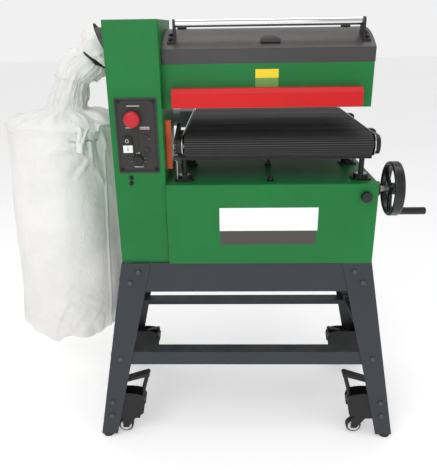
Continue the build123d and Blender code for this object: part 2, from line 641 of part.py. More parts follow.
def abrasive_strip():
    sleeve = rod_x(DRUM_X0, DRUM_X1, DRUM_Y, DRUM_Z, DRUM_R)
    return sleeve - rod_x(DRUM_X0 - 1, DRUM_X1 + 1, DRUM_Y, DRUM_Z, DRUM_R - STRIP_T)


def pressure_roller(side):
    y = DRUM_Y + side * PRESS_Y
    roller = rod_x(DRUM_X0, DRUM_X1, y, PRESS_Z, PRESS_R)
    return roller + rod_x(COLUMN_X1 + HEAD_T + FREE, HEAD_X1 - END_PLATE - FREE, y, PRESS_Z, 6)


def flange_bearings():
    made = []
    for x, y, _ in LIFT_SITES:
        body = block(x - FLANGE_W / 2, x + FLANGE_W / 2, y - FLANGE_W / 2, y + FLANGE_W / 2,
                     CABINET_Z1, CABINET_Z1 + 5)
        body = fillet(body.edges().filter_by(Axis.Z), 10)
        body += rod_z(CABINET_Z1, CABINET_Z1 + FLANGE_T, x, y, COLLAR_R + 4)
        body -= rod_z(CABINET_Z1 - 1, CABINET_Z1 + FLANGE_T + 1, x, y, SLEEVE_R + RUN)
        body -= rod_z(CABINET_Z1 + 6, CABINET_Z1 + FLANGE_T + 1, x, y, COLLAR_R + FREE)
        made.append(body)
    for x0, x1 in ((COLUMN_X1 - SHEET - BEARING_T, COLUMN_X1 - SHEET), (DRUM_X1 + 4, HEAD_X1 - END_PLATE)):
        ring = rod_x(x0, x1, DRUM_Y, DRUM_Z, BEARING_R)
        made.append(ring - rod_x(x0 - 1, x1 + 1, DRUM_Y, DRUM_Z, DRUM_SHAFT_R + RUN))
    boss = rod_x(TOP_HALF_X, TOP_HALF_X + 14, -LIFT_Y, CRANK_Z, 20)
    made.append(boss - rod_x(TOP_HALF_X - 1, TOP_HALF_X + 15, -LIFT_Y, CRANK_Z, CRANK_R + RUN))
    return made


# ---- Handle and latch ----
BAR_Z = CROWN_Z + BAR_Z_ABOVE
LUG_X0 = COLUMN_X1 + 34.0
LUG_X1 = HEAD_X1 - 24.0


def handle_bar():
    return rod_x(LUG_X0, LUG_X1 - LUG_T, BAR_Y, BAR_Z, BAR_R)


def handle_brackets():
    """Two angle lugs whose feet follow the hood's curve."""
    made = []
    skin = rod_x(COLUMN_X1, HEAD_X1, DRUM_Y, ARC_Z, HOOD_R + LUG_T) - rod_x(
        COLUMN_X1 - 1, HEAD_X1 + 1, DRUM_Y, ARC_Z, HOOD_R)
    solid_hood = rod_x(COLUMN_X1 - 1, HEAD_X1 + 1, DRUM_Y, ARC_Z, HOOD_R)
    y0, y1 = BAR_Y - 20, BAR_Y + 20
    for x0, out in ((LUG_X0 - LUG_T, -1), (LUG_X1 - LUG_T, 1)):
        plate = block(x0, x0 + LUG_T, y0, y1, HOOD_Z1, BAR_Z + BAR_R) - solid_hood
        plate = fillet(plate.edges().filter_by(Axis.X).group_by(Axis.Z)[-1], 9)
        f0, f1 = (x0 - LUG_FOOT + LUG_T, x0 + LUG_T) if out < 0 else (x0, x0 + LUG_FOOT)
        made.append(plate + (skin & block(f0, f1, y0, y1 + 5, HOOD_Z1, CROWN_Z + 9)))
    return made


def latch_frame():
    """Plane on the hood's slope, Z outward, at the latch's pivot."""
    z = hood_height(LATCH_Y)
    n = Vector(0, LATCH_Y - DRUM_Y, z - ARC_Z)
    return Plane(origin=(LATCH_X, LATCH_Y, z), x_dir=(1, 0, 0), z_dir=n)


LATCH_X = COLUMN_X1 + 267.0


def hood_latch():
    face = Circle(LATCH_R) & (Pos(0, 9) * Rectangle(2 * LATCH_R, 34))
    plate = extrude(face, 4.5)
    plate = fillet(plate.edges().group_by(Axis.Z)[-1], 2)
    stem = Pos(0, 0, -8) * Cylinder(6, 18)
    tongue = Pos(0, 8, -15.5) * Box(12, 30, 3)
    return latch_frame() * (Pos(0, 0, FREE) * (plate + stem + tongue))


# ---- Conveyor ----
def conveyor_belt():
    band = slab_x(stadium(ROLLER_Y0, ROLLER_Y1, ROLLER_Z, ROLLER_R + BELT_T), BELT_X0, BELT_X1)
    return band - slab_x(stadium(ROLLER_Y0, ROLLER_Y1, ROLLER_Z, ROLLER_R), BELT_X0 - 1, BELT_X1 + 1)


SIDE_X0 = BELT_X0 - SIDE_GAP
SIDE_X1 = BELT_X1 + SIDE_GAP
GUIDE_Y = (ROLLER_Y0 + 70.0, ROLLER_Y0 + 337.0)


def conveyor_table():
    """Two side plates, the bed plate between the belt's runs, and the cross bars under the belt."""
    table = slab_x(stadium(ROLLER_Y0, ROLLER_Y1, ROLLER_Z, SIDE_R), SIDE_X0 - SIDE_T, SIDE_X0)
    table += slab_x(stadium(ROLLER_Y0, ROLLER_Y1, ROLLER_Z, SIDE_R), SIDE_X1, SIDE_X1 + SIDE_T)
    bed_y0, bed_y1 = ROLLER_Y0 + ROLLER_R + 8, ROLLER_Y1 - ROLLER_R - 8
    bed_z1 = ROLLER_Z + ROLLER_R
    table += block(SIDE_X0 - 1, SIDE_X1 + 1, bed_y0, bed_y1, bed_z1 - BED_T, bed_z1)
    for y in (bed_y0 + 15, bed_y1 - 15):
        table += block(SIDE_X0 - 1, SIDE_X1 + 1, y - 10, y + 10, bed_z1 - 26, bed_z1 - BED_T + 1)
    for y in (-LIFT_Y, LIFT_Y):
        y0, y1 = y - CROSS_W / 2, y + CROSS_W / 2
        table += block(SIDE_X0 - SIDE_T - 6, SIDE_X1 + SIDE_T, y0, y1, CROSS_Z0, CROSS_Z1)
        for x in (SIDE_X0 - SIDE_T, SIDE_X1):
            table += block(x, x + SIDE_T, y0, y1, CROSS_Z0, ROLLER_Z)
    for y in (ROLLER_Y0, ROLLER_Y1):
        table -= rod_x(SIDE_X0 - 9, SIDE_X1 + 9, y, ROLLER_Z, JOURNAL_R + RUN)
    return table


def roller_blocks():
    """Bearing noses at the front roller and guide blocks behind them, outside the side plates."""
    made = []
    for side, face in ((-1, SIDE_X0 - SIDE_T), (1, SIDE_X1 + SIDE_T)):
        x0, x1 = sorted((face, face + side * BLOCK_W))
        for y in GUIDE_Y:
            if y > DRUM_Y and side < 0:
                continue
            lug = block(x0, x1, y - 9, y + 9, BELT_Z - 24, BELT_Z)
            top_edges = lug.edges().filter_by(Axis.Y).group_by(Axis.Z)[-1].sort_by(Axis.X)
            made.append(fillet(top_edges[0 if side < 0 else -1], 9))
        n0, n1 = sorted((face, face + side * NOSE_T))
        nose = slab_x(stadium(ROLLER_Y0, ROLLER_Y0 + NOSE_L, ROLLER_Z, SIDE_R - 3), n0, n1)
        made.append(nose - rod_x(x0 - 9, x1 + 9, ROLLER_Y0, ROLLER_Z, JOURNAL_R + RUN))
    return made


def drive_roller():
    roller = rod_x(BELT_X0, BELT_X1, ROLLER_Y1, ROLLER_Z, ROLLER_R - FREE)
    return roller + rod_x(SIDE_X0 - SIDE_T - 40, SIDE_X1 + SIDE_T, ROLLER_Y1, ROLLER_Z, JOURNAL_R)


def idler_roller():
    roller = rod_x(BELT_X0, BELT_X1, ROLLER_Y0, ROLLER_Z, ROLLER_R - FREE)
    return roller + rod_x(SIDE_X0 - SIDE_T - 8, SIDE_X1 + SIDE_T + 8, ROLLER_Y0, ROLLER_Z, JOURNAL_R)


def feed_motor():
    x1 = SIDE_X0 - SIDE_T
    box = block(x1 - 44, x1, ROLLER_Y1 - GEARBOX / 2, ROLLER_Y1 + GEARBOX / 2, ROLLER_Z - GEARBOX / 2,
                ROLLER_Z + GEARBOX / 2 - 4)
    box = fillet(box.edges().filter_by(Axis.X), 8)
    box -= rod_x(x1 - 42, x1 + 1, ROLLER_Y1, ROLLER_Z, JOURNAL_R + RUN)
    can = rod_x(x1 - 44 - FEED_L, x1 - 43, ROLLER_Y1, ROLLER_Z - 1, FEED_R - 4)
    return box + fillet(can.edges().group_by(Axis.X)[0], 4)


# ---- Lift ----
def lift_screws():
    return [rod_z(CABINET_Z1 - SCREW_TAIL, CROSS_Z0, x, y, SCREW_R) for x, y, _ in LIFT_SITES]


def lift_nut(x, y, mitre):
    z1 = CABINET_Z1 + FLANGE_T
    chain_z = CABINET_Z1 - CHAIN_DROP
    nut = rod_z(CABINET_Z1 - SLEEVE_BELOW, z1, x, y, SLEEVE_R)
    nut += rod_z(CABINET_Z1 + 6 + FREE, z1, x, y, COLLAR_R)
    nut += rod_z(chain_z - SPROCKET_T / 2, chain_z + SPROCKET_T / 2, x, y, SPROCKET_R)
    if mitre:
        z0 = CRANK_Z - MITRE_R
        nut += Pos(x, y, z0 + MITRE_FACE / 2 - FREE) * Cone(MITRE_R, MITRE_R - MITRE_FACE, MITRE_FACE)
        nut += rod_z(z0 - 6, z0 - FREE, x, y, MITRE_R)
    return nut - rod_z(CABINET_Z1 - SLEEVE_BELOW - 1, z1 + 1, x, y, SCREW_R + RUN)


def lift_chain():
    """Roller chain drawn as the plain band that it sweeps round the four sprockets."""
    z = CABINET_Z1 - CHAIN_DROP
    w, d = LIFT_X1 - LIFT_X0, 2 * LIFT_Y
    inner_r = SPROCKET_R + FREE
    outer_r = inner_r + CHAIN_T
    outer = RectangleRounded(w + 2 * outer_r, d + 2 * outer_r, outer_r)
    inner = RectangleRounded(w + 2 * inner_r, d + 2 * inner_r, inner_r)
    return Pos((LIFT_X0 + LIFT_X1) / 2, 0, z) * extrude(outer - inner, 2, both=True)


def crank_shaft():
    x0 = LIFT_X1 + MITRE_R - MITRE_FACE
    shaft = rod_x(x0, WHEEL_X0 + WHEEL_W - 5, -LIFT_Y, CRANK_Z, CRANK_R)
    cone = Cone(MITRE_R - MITRE_FACE, MITRE_R, MITRE_FACE)
    shaft += Pos(x0 + MITRE_FACE / 2, -LIFT_Y, CRANK_Z) * Rot(0, 90, 0) * cone
    return shaft + rod_x(x0 + MITRE_FACE, x0 + MITRE_FACE + 5, -LIFT_Y, CRANK_Z, MITRE_R)


def handwheel():
    """Dished wheel: broad rim, three spokes and a hub, with the grip's spindle at the bottom."""
    x1 = WHEEL_X0 + WHEEL_W
    rim_x = (WHEEL_X0 + x1) / 2
    rim_r = WHEEL_R - RIM_T / 2
    section = Pos(rim_r, 0) * RectangleRounded(RIM_T, WHEEL_W, RIM_T / 2 - 0.5)
    rim = Pos(rim_x, -LIFT_Y, CRANK_Z) * Rot(0, 90, 0) * revolve(Plane.XZ * section, Axis.Z)
    core = rod_x(WHEEL_X0, x1, -LIFT_Y, CRANK_Z, HUB_R)
    for k in range(3):
        a = radians(-90 + 120 * k)
        tip = (rim_x - 3, -LIFT_Y + rim_r * cos(a), CRANK_Z + rim_r * sin(a))
        core += bar((WHEEL_X0 + 8, -LIFT_Y, CRANK_Z), tip, 6.5)
    boss_z = CRANK_Z - GRIP_THROW
    core += rod_x(WHEEL_X0 + 3, x1 + 2, -LIFT_Y, boss_z, 8.5)
    core += rod_x(rim_x, x1 + GRIP_L, -LIFT_Y, boss_z, SPINDLE_R)
    return rim + core - rod_x(WHEEL_X0 - 1, x1 - 5, -LIFT_Y, CRANK_Z, CRANK_R)


def crank_handle():
    x0 = WHEEL_X0 + WHEEL_W + 3
    z = CRANK_Z - GRIP_THROW
    grip = rod_x(x0, x0 + GRIP_L + 6, -LIFT_Y, z, GRIP_R)
    grip = fillet(grip.edges().filter_by(GeomType.CIRCLE), 3)
    return grip - rod_x(x0 - 1, x0 + GRIP_L, -LIFT_Y, z, SPINDLE_R + RUN)


def lock_knob():
    knob = rod_y(-TOP_HALF_Y - 18, -TOP_HALF_Y - 2, LOCK_X, LOCK_Z, LOCK_R)
    knob = fillet(knob.edges().group_by(Axis.Y)[0], 4)
    for k in range(8):
        a = 2 * pi * k / 8
        knob -= rod_y(-TOP_HALF_Y - 19, -TOP_HALF_Y - 1, LOCK_X + (LOCK_R + 1.5) * cos(a),
                      LOCK_Z + (LOCK_R + 1.5) * sin(a), 3)
    return knob + rod_y(-TOP_HALF_Y - 3, -LIFT_Y - SLEEVE_R - 2, LOCK_X, LOCK_Z, LOCK_ROD_R)


# ---- Main drive ----
def drive_motor():
    x0 = COLUMN_X1 + SHEET
    flange = block(x0, x0 + 8, -MOTOR_R, MOTOR_R, MOTOR_Z - MOTOR_R, MOTOR_Z + MOTOR_R)
    can = rod_x(x0 + 7, x0 + MOTOR_L, 0, MOTOR_Z, MOTOR_R - 3)
    can = fillet(can.edges().group_by(Axis.X)[-1], 8)
    box = block(x0 + 60, x0 + 140, -MOTOR_R - 14, -MOTOR_R + 22, MOTOR_Z - 30, MOTOR_Z + 20)
    return flange + can + box - rod_x(x0 - 1, x0 + 60, 0, MOTOR_Z, MOTOR_SHAFT_R + RUN)


def pulley(y, z, r, bore):
    x0, x1 = PULLEY_X - PULLEY_W / 2, PULLEY_X + PULLEY_W / 2
    rim = rod_x(x0, x1, y, z, r + 3)
    seat = rod_x(PULLEY_X - VBELT_W / 2 - FREE, PULLEY_X + VBELT_W / 2 + FREE, y, z, r + 4)
    seat -= rod_x(x0, x1, y, z, r - VBELT_T - FREE)
    return rim - seat - rod_x(x0 - 1, x1 + 1, y, z, bore)


def motor_pulley():
    wheel = pulley(0, MOTOR_Z, MOTOR_PULLEY_R, MOTOR_SHAFT_R - 1)
    return wheel + rod_x(PULLEY_X - PULLEY_W / 2 - 3, COLUMN_X1 + SHEET + 55, 0, MOTOR_Z, MOTOR_SHAFT_R)


def drum_pulley():
    return pulley(DRUM_Y, DRUM_Z, DRUM_PULLEY_R, DRUM_SHAFT_R)


def belt_loop(r_small, r_big):
    """Sketch in (y, z): the hull of two circles about the pulleys."""
    small = Pos(0, MOTOR_Z) * Circle(r_small)
    big = Pos(DRUM_Y, DRUM_Z) * Circle(r_big)
    return make_hull(small.edges() + big.edges())


def drive_belt():
    outer = belt_loop(MOTOR_PULLEY_R, DRUM_PULLEY_R)
    inner = belt_loop(MOTOR_PULLEY_R - VBELT_T, DRUM_PULLEY_R - VBELT_T)
    return slab_x(outer - inner, PULLEY_X - VBELT_W / 2, PULLEY_X + VBELT_W / 2)


# ---- Dust extraction ----
PORT_Z = COLUMN_Z1 - PORT_DROP
FAN_Y0 = COLUMN_Y1 + SHEET
FAN_Y1 = FAN_Y0 + FAN_W
PORT_Y = (FAN_Y0 + FAN_Y1) / 2
MOUTH_X = COLUMN_X0 - MOUTH_OUT
PORT_DIR = Vector(-cos(radians(PORT_TILT)), 0, -sin(radians(PORT_TILT)))


def mouth_plane(offset=0.0):
    at = Vector(MOUTH_X, PORT_Y, PORT_Z) + PORT_DIR * offset
    return Plane(origin=at, x_dir=(0, 1, 0), z_dir=PORT_DIR)


def fan_housing():
    scroll = rod_y(FAN_Y0, FAN_Y1, FAN_X, FAN_Z, FAN_R)
    duct = rod_x(MOUTH_X - 100, FAN_X, PORT_Y, PORT_Z, PORT_R)
    beyond = mouth_plane() * Pos(0, 0, 150) * Box(400, 400, 300)
    hollow = rod_y(FAN_Y0 + SHEET, FAN_Y1 - SHEET, FAN_X, FAN_Z, FAN_R - SHEET)
    hollow += rod_x(MOUTH_X - 100, FAN_X, PORT_Y, PORT_Z, PORT_R - SHEET)
    hollow -= mouth_plane() * Pos(0, 0, 150 - SHEET) * Box(400, 400, 300)
    housing = scroll + duct - beyond - hollow
    stub = mouth_plane(-SHEET) * Pos(0, 0, (STUB_L + SHEET) / 2) * Cylinder(STUB_R, STUB_L + SHEET)
    housing += stub
    housing -= mouth_plane(-SHEET) * Pos(0, 0, STUB_L / 2) * Cylinder(STUB_R - SHEET, STUB_L + 20)
    housing -= rod_y(FAN_Y0 - 1, FAN_Y0 + 9, FAN_X, FAN_Z, 36)
    can = fillet(rod_y(FAN_Y1 - 1, FAN_Y1 + 62, FAN_X, FAN_Z, 45).edges().group_by(Axis.Y)[-1], 6)
    return housing + can - rod_y(FAN_Y1 - SHEET - 1, FAN_Y1 + 40, FAN_X, FAN_Z, 6 + RUN)


def fan_impeller():
    y0, y1 = FAN_Y0 + 14, FAN_Y1 - 10
    fan = rod_y(y1 - 3, y1, FAN_X, FAN_Z, IMPELLER_R) + rod_y(y0 + 20, y1, FAN_X, FAN_Z, 16)
    blade = block(12, IMPELLER_R, -1.5, 1.5, 0, y1 - y0)
    for k in range(8):
        fan += Pos(FAN_X, y1, FAN_Z) * Rot(90, 0, 0) * Rot(0, 0, 45 * k) * blade
    return fan + rod_y(y1 - 4, FAN_Y1 + 38, FAN_X, FAN_Z, 6)


def ring_face(x, z, r, tilt):
    """Circle about the bag's path, tilted from the horizontal about Y."""
    return (Pos(x, PORT_Y, z) * Rot(0, tilt, 0) * Circle(r)).face()


BAG_TOP_Z = COLUMN_Z1 - BAG_TOP_DROP
NECK_AT = Vector(MOUTH_X, PORT_Y, PORT_Z) + PORT_DIR * STUB_L


def dust_bag():
    """Closed shape of the filled bag: mouth on the port, gathered neck, shoulder and body."""
    tilt = PORT_TILT - 90
    top_x = NECK_AT.X - BAG_OUT
    mouth = mouth_plane() * Pos(0, 0, STUB_L / 2) * Cylinder(NECK_R, STUB_L)
    neck = loft([
        ring_face(NECK_AT.X, NECK_AT.Z, NECK_R, -tilt),
        ring_face(NECK_AT.X - 46, NECK_AT.Z - 52, NECK_R + 2, 20),
        ring_face(top_x + 18, BAG_TOP_Z + 50, NECK_R + 3, 8),
        ring_face(top_x + 10, BAG_TOP_Z + 22, NECK_R + 12, 0)], ruled=True)
    body = loft([
        ring_face(top_x + 10, BAG_TOP_Z + 22, NECK_R + 12, 0),
        ring_face(top_x, BAG_TOP_Z, BAG_R - 8, 0),
        ring_face(top_x, BAG_TOP_Z - 14, BAG_R, 0),
        ring_face(top_x - BAG_LEAN, BAG_TOP_Z - BAG_L, BAG_R - 2, 0),
        ring_face(top_x - BAG_LEAN, BAG_TOP_Z - BAG_L - 22, BAG_R - 30, 0)], ruled=True)
    bag = mouth + neck + body
    return bag - mouth_plane() * Pos(0, 0, STUB_L / 2 - 1) * Cylinder(STUB_R, STUB_L + 2)


def bag_clamp():
    at = mouth_plane(STUB_L - 30)
    band = at * (Cylinder(NECK_R + CLAMP_T, CLAMP_W) - Cylinder(NECK_R, CLAMP_W + 2))
    return band + at * Pos(0, -NECK_R - CLAMP_T - 5, 0) * Box(22, 12, CLAMP_W - 4)


# ---- Assembly ----
def build():
    lone_leg = leg()
    nodes = {
        "stand_legs": four(lone_leg),
        "stand_rails": rails(STAND_H - TOP_RAIL_H, STAND_H, TOP_RAIL_FLANGE)
        + rails(LOW_RAIL_Z, LOW_RAIL_Z + LOW_RAIL_H, LOW_RAIL_FLANGE),
        "foot_pads": four(foot_pad()),
        "fasteners": fasteners(),
        "caster_brackets": four(caster_bracket()),
        "base_cabinet": base_cabinet(),
        "drive_column": drive_column(),
        "column_back_cover": column_back_cover(),
        "control_panel": control_panel(),
        "head_casing": head_casing(),
        "infeed_guard": infeed_guard(),
        "drive_motor": drive_motor(),
        "drive_belt": drive_belt(),
        "flange_bearings": flange_bearings(),
        "fan_housing": fan_housing(),
        "bag_clamp": bag_clamp(),
        "dust_bag": dust_bag(),
        "lift_chain": lift_chain(),
        "sanding_drum": sanding_drum(),
        "abrasive_strip": abrasive_strip(),
        "drum_pulley": drum_pulley(),
        "motor_pulley": motor_pulley(),
        "fan_impeller": fan_impeller(),
        "pressure_roller_front": pressure_roller(-1),
        "pressure_roller_rear": pressure_roller(1),
        "dust_hood": dust_hood(),
        "handle_bar": handle_bar(),
        "handle_brackets": handle_brackets(),
        "hood_latch": hood_latch(),
        "stop_button": stop_button(),
        "off_button": push_key(OFF_AT),
        "on_button": push_key(ON_AT),
        "speed_knob": speed_knob(),
        "conveyor_table": conveyor_table(),
        "conveyor_belt": conveyor_belt(),
        "roller_blocks": roller_blocks(),
        "feed_motor": feed_motor(),
        "lift_screws": lift_screws(),
        "drive_roller": drive_roller(),
        "idler_roller": idler_roller(),
        "handwheel": handwheel(),
        "crank_shaft": crank_shaft(),
        "crank_handle": crank_handle(),
        "lock_knob": lock_knob(),
    }
    for x, y, name in LIFT_SITES:
        nodes["lift_nut_" + name] = lift_nut(x, y, name == "front_right")
    for sx, sy, name in CORNERS:
        rise, foot_in = (PEDAL_RISE, 18) if sy < 0 else (LOW_PEDAL_RISE, 8)
        nodes["caster_lever_" + name] = corner(caster_lever(rise, foot_in), sx, sy)
        nodes["caster_fork_" + name] = corner(caster_fork(sx), 1, sy)
        nodes["caster_wheel_" + name] = corner(caster_wheel(sx), 1, sy)
    return nodes


def solids_of(shape):
    pieces = shape if isinstance(shape, list) else [shape]
    return [solid for piece in pieces for solid in piece.solids()]


NODES = {name: Compound(children=solids_of(shape)) for name, shape in build().items()}
WHOLE = Compound(children=[solid for node in NODES.values() for solid in node.solids()])
BOX = WHOLE.bounding_box()
ORIGIN = Pos(-(BOX.min.X + BOX.max.X) / 2, -(BOX.min.Y + BOX.max.Y) / 2, -BOX.min.Z)

os.makedirs("parts", exist_ok=True)
for name, node in NODES.items():
    export_step(Compound(children=[ORIGIN * solid for solid in node.solids()]), f"parts/{name}.step")
print("origin moved by", ORIGIN.position)
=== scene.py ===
import json
import math

import bmesh
import bpy
from mathutils import Matrix, Vector, noise


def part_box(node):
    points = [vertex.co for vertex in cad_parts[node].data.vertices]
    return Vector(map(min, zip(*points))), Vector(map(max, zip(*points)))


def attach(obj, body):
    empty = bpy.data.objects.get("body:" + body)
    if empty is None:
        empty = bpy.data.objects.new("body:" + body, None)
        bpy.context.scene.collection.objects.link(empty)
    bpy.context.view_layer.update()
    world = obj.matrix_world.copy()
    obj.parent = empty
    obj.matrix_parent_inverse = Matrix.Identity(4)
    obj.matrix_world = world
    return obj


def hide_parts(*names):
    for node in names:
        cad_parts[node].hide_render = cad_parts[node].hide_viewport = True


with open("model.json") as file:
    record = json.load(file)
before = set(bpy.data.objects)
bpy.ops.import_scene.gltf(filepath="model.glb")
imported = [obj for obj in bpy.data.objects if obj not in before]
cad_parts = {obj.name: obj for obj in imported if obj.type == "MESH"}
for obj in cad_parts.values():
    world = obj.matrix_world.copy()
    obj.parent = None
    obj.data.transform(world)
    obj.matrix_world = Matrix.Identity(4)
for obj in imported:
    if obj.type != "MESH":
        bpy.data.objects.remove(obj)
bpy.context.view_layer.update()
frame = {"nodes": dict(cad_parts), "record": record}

# The foot centre of the stand: every place below is in mm from it, X right, Y away, Z up.
LOW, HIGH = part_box("stand_legs")
FEET = Vector(((LOW.x + HIGH.x) / 2, (LOW.y + HIGH.y) / 2, 0.0))


def spot(x, y, z):
    return FEET + Vector((x, y, z)) / 1000


def corners(node):
    """Lowest and highest corner of a CAD node, in mm from the foot centre."""
    low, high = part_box(node)
    return (low - FEET) * 1000, (high - FEET) * 1000


def rgb(red, green, blue):
    """A colour given as on a paint card, 0 to 255."""
    def channel(value):
        value /= 255
        return value / 12.92 if value <= 0.04045 else ((value + 0.055) / 1.055) ** 2.4
    return (channel(red), channel(green), channel(blue), 1.0)


# ---------------------------------------------------------------- shader building

def add(tree, kind, inputs=None, **settings):
    """A node with its settings, and its inputs set to values or linked to sockets."""
    made = tree.nodes.new(kind)
    for name, value in settings.items():
        setattr(made, name, value)
    for name, value in (inputs or {}).items():
        if isinstance(value, bpy.types.NodeSocket):
            tree.links.new(value, made.inputs[name])
        else:
            made.inputs[name].default_value = value
    return made


def maths(tree, operation, first, second=0.0, third=0.0):
    return add(tree, "ShaderNodeMath", {0: first, 1: second, 2: third}, operation=operation).outputs[0]


def blend_colour(tree, amount, first, second):
    made = add(tree, "ShaderNodeMix", {0: amount, 6: first, 7: second}, data_type="RGBA", clamp_factor=True)
    return made.outputs[2]


def noise_value(tree, coord, scale, detail=3.0, rough=0.55, stretch=(1, 1, 1)):
    place = add(tree, "ShaderNodeMapping", {"Vector": coord, "Scale": stretch})
    made = add(tree, "ShaderNodeTexNoise",
               {"Vector": place.outputs[0], "Scale": scale, "Detail": detail, "Roughness": rough})
    return made.outputs[0]


def band(tree, value, low, high, to_low=0.0, to_high=1.0):
    made = add(tree, "ShaderNodeMapRange",
               {"Value": value, "From Min": low, "From Max": high, "To Min": to_low, "To Max": to_high},
               clamp=True)
    return made.outputs[0]


def group(kind, name, inputs, outputs):
    """An empty node group with named inputs and outputs, and its two end nodes."""
    tree = bpy.data.node_groups.new(name, kind)
    for socket, socket_kind, value in inputs:
        made = tree.interface.new_socket(socket, in_out="INPUT", socket_type=socket_kind)
        if value is not None:
            made.default_value = value
    for socket, socket_kind in outputs:
        tree.interface.new_socket(socket, in_out="OUTPUT", socket_type=socket_kind)
    return tree, tree.nodes.new("NodeGroupInput"), tree.nodes.new("NodeGroupOutput")


def effect(name, inputs, outputs):
    return group("ShaderNodeTree", name, inputs, outputs)


def edge_wear_and_highlight_effect():
    """Where an edge is: the bevelled normal leaves the flat one. Edge is the whole edge and carries the
    painted edge highlight; Wear is that edge broken up by noise, where it is rubbed.
    """
    tree, start, end = effect(
        "edge_wear_and_highlight",
        [("Coord", "NodeSocketVector", None), ("Radius", "NodeSocketFloat", 0.0015),
         ("Break up", "NodeSocketFloat", 60.0)],
        [("Edge", "NodeSocketFloat"), ("Wear", "NodeSocketFloat"), ("Normal", "NodeSocketVector")])
    bevel = add(tree, "ShaderNodeBevel", {"Radius": start.outputs["Radius"]}, samples=6)
    flat = add(tree, "ShaderNodeNewGeometry")
    turn = add(tree, "ShaderNodeVectorMath", {0: bevel.outputs[0], 1: flat.outputs["Normal"]},
               operation="DOT_PRODUCT")
    edge = band(tree, turn.outputs["Value"], 0.995, 0.80)
    patchy = noise_value(tree, start.outputs["Coord"], start.outputs["Break up"], 4.0, 0.7)
    wear = maths(tree, "MULTIPLY", edge, band(tree, patchy, 0.50, 0.66))
    tree.links.new(edge, end.inputs["Edge"])
    tree.links.new(wear, end.inputs["Wear"])
    tree.links.new(bevel.outputs[0], end.inputs["Normal"])
    return tree


def grain_effect():
    """The surface's fine texture and its slow change of tone."""
    tree, start, end = effect(
        "grain",
        [("Coord", "NodeSocketVector", None), ("Fine", "NodeSocketFloat", 500.0),
         ("Broad", "NodeSocketFloat", 7.0), ("Stretch", "NodeSocketVector", (1, 1, 1))],
        [("Height", "NodeSocketFloat"), ("Tone", "NodeSocketFloat"), ("Smudge", "NodeSocketFloat")])
    place = add(tree, "ShaderNodeMapping", {"Vector": start.outputs["Coord"],
                                            "Scale": start.outputs["Stretch"]})
    fine = add(tree, "ShaderNodeTexNoise",
               {"Vector": place.outputs[0], "Scale": start.outputs["Fine"], "Detail": 2.0,
                "Roughness": 0.5})
    broad = add(tree, "ShaderNodeTexNoise",
                {"Vector": start.outputs["Coord"], "Scale": start.outputs["Broad"], "Detail": 3.0,
                 "Roughness": 0.5})
    smudge = add(tree, "ShaderNodeTexNoise",
                 {"Vector": start.outputs["Coord"], "Scale": 38.0, "Detail": 6.0, "Roughness": 0.65,
                  "Distortion": 0.6})
    tree.links.new(fine.outputs[0], end.inputs["Height"])
    tree.links.new(band(tree, broad.outputs[0], 0.32, 0.68), end.inputs["Tone"])
    tree.links.new(band(tree, smudge.outputs[0], 0.52, 0.72), end.inputs["Smudge"])
    return tree


def dust_effect():
    """Fine wood dust that settles on what faces up."""
    tree, start, end = effect(
        "wood_dust",
        [("Coord", "NodeSocketVector", None), ("Amount", "NodeSocketFloat", 0.3)],
        [("Dust", "NodeSocketFloat")])
    flat = add(tree, "ShaderNodeNewGeometry")
    axes = add(tree, "ShaderNodeSeparateXYZ", {0: flat.outputs["Normal"]})
    facing_up = band(tree, axes.outputs["Z"], 0.55, 0.98)
    patches = band(tree, noise_value(tree, start.outputs["Coord"], 22.0, 6.0, 0.7), 0.40, 0.75)
    amount = maths(tree, "MULTIPLY", maths(tree, "MULTIPLY", facing_up, patches), start.outputs["Amount"])
    tree.links.new(amount, end.inputs["Dust"])
    return tree


def weave_effect():
    """Plain weave: threads over and under in two directions of the piece's own UV map."""
    tree, start, end = effect(
        "weave",
        [("Coord", "NodeSocketVector", None), ("Threads", "NodeSocketFloat", 900.0)],
        [("Height", "NodeSocketFloat"), ("Thread", "NodeSocketFloat")])
    scaled = add(tree, "ShaderNodeVectorMath", {0: start.outputs["Coord"],
                                                "Scale": start.outputs["Threads"]},
                 operation="SCALE")
    axes = add(tree, "ShaderNodeSeparateXYZ", {0: scaled.outputs[0]})
    warp = maths(tree, "SINE", maths(tree, "MULTIPLY", axes.outputs["X"], math.tau))
    weft = maths(tree, "SINE", maths(tree, "MULTIPLY", axes.outputs["Y"], math.tau))
    height = maths(tree, "MULTIPLY_ADD", maths(tree, "MULTIPLY", warp, weft), 0.5, 0.5)
    slub = noise_value(tree, scaled.outputs[0], 0.11, 3.0, 0.6, (1, 0.08, 1))
    tree.links.new(height, end.inputs["Height"])
    tree.links.new(slub, end.inputs["Thread"])
    return tree


EDGE_WEAR_AND_HIGHLIGHT = edge_wear_and_highlight_effect()
GRAIN = grain_effect()
WOOD_DUST = dust_effect()
WEAVE = weave_effect()
DUST_COLOUR = rgb(196, 170, 130)
BARE_STEEL = rgb(150, 148, 142)


def begin(name, **shader):
    """A new material with one shader, whose uniform values are set on its own sockets."""
    made = bpy.data.materials.new(name)
    made.use_nodes = True
    tree = made.node_tree
    tree.nodes.clear()
    surface = add(tree, "ShaderNodeBsdfPrincipled", shader)
    out = add(tree, "ShaderNodeOutputMaterial")
    tree.links.new(surface.outputs[0], out.inputs[0])
    coord = add(tree, "ShaderNodeTexCoord").outputs["Object"]
    return made, tree, surface, coord


def grouped(tree, effect_tree, inputs):
    return add(tree, "ShaderNodeGroup", inputs, node_tree=effect_tree)


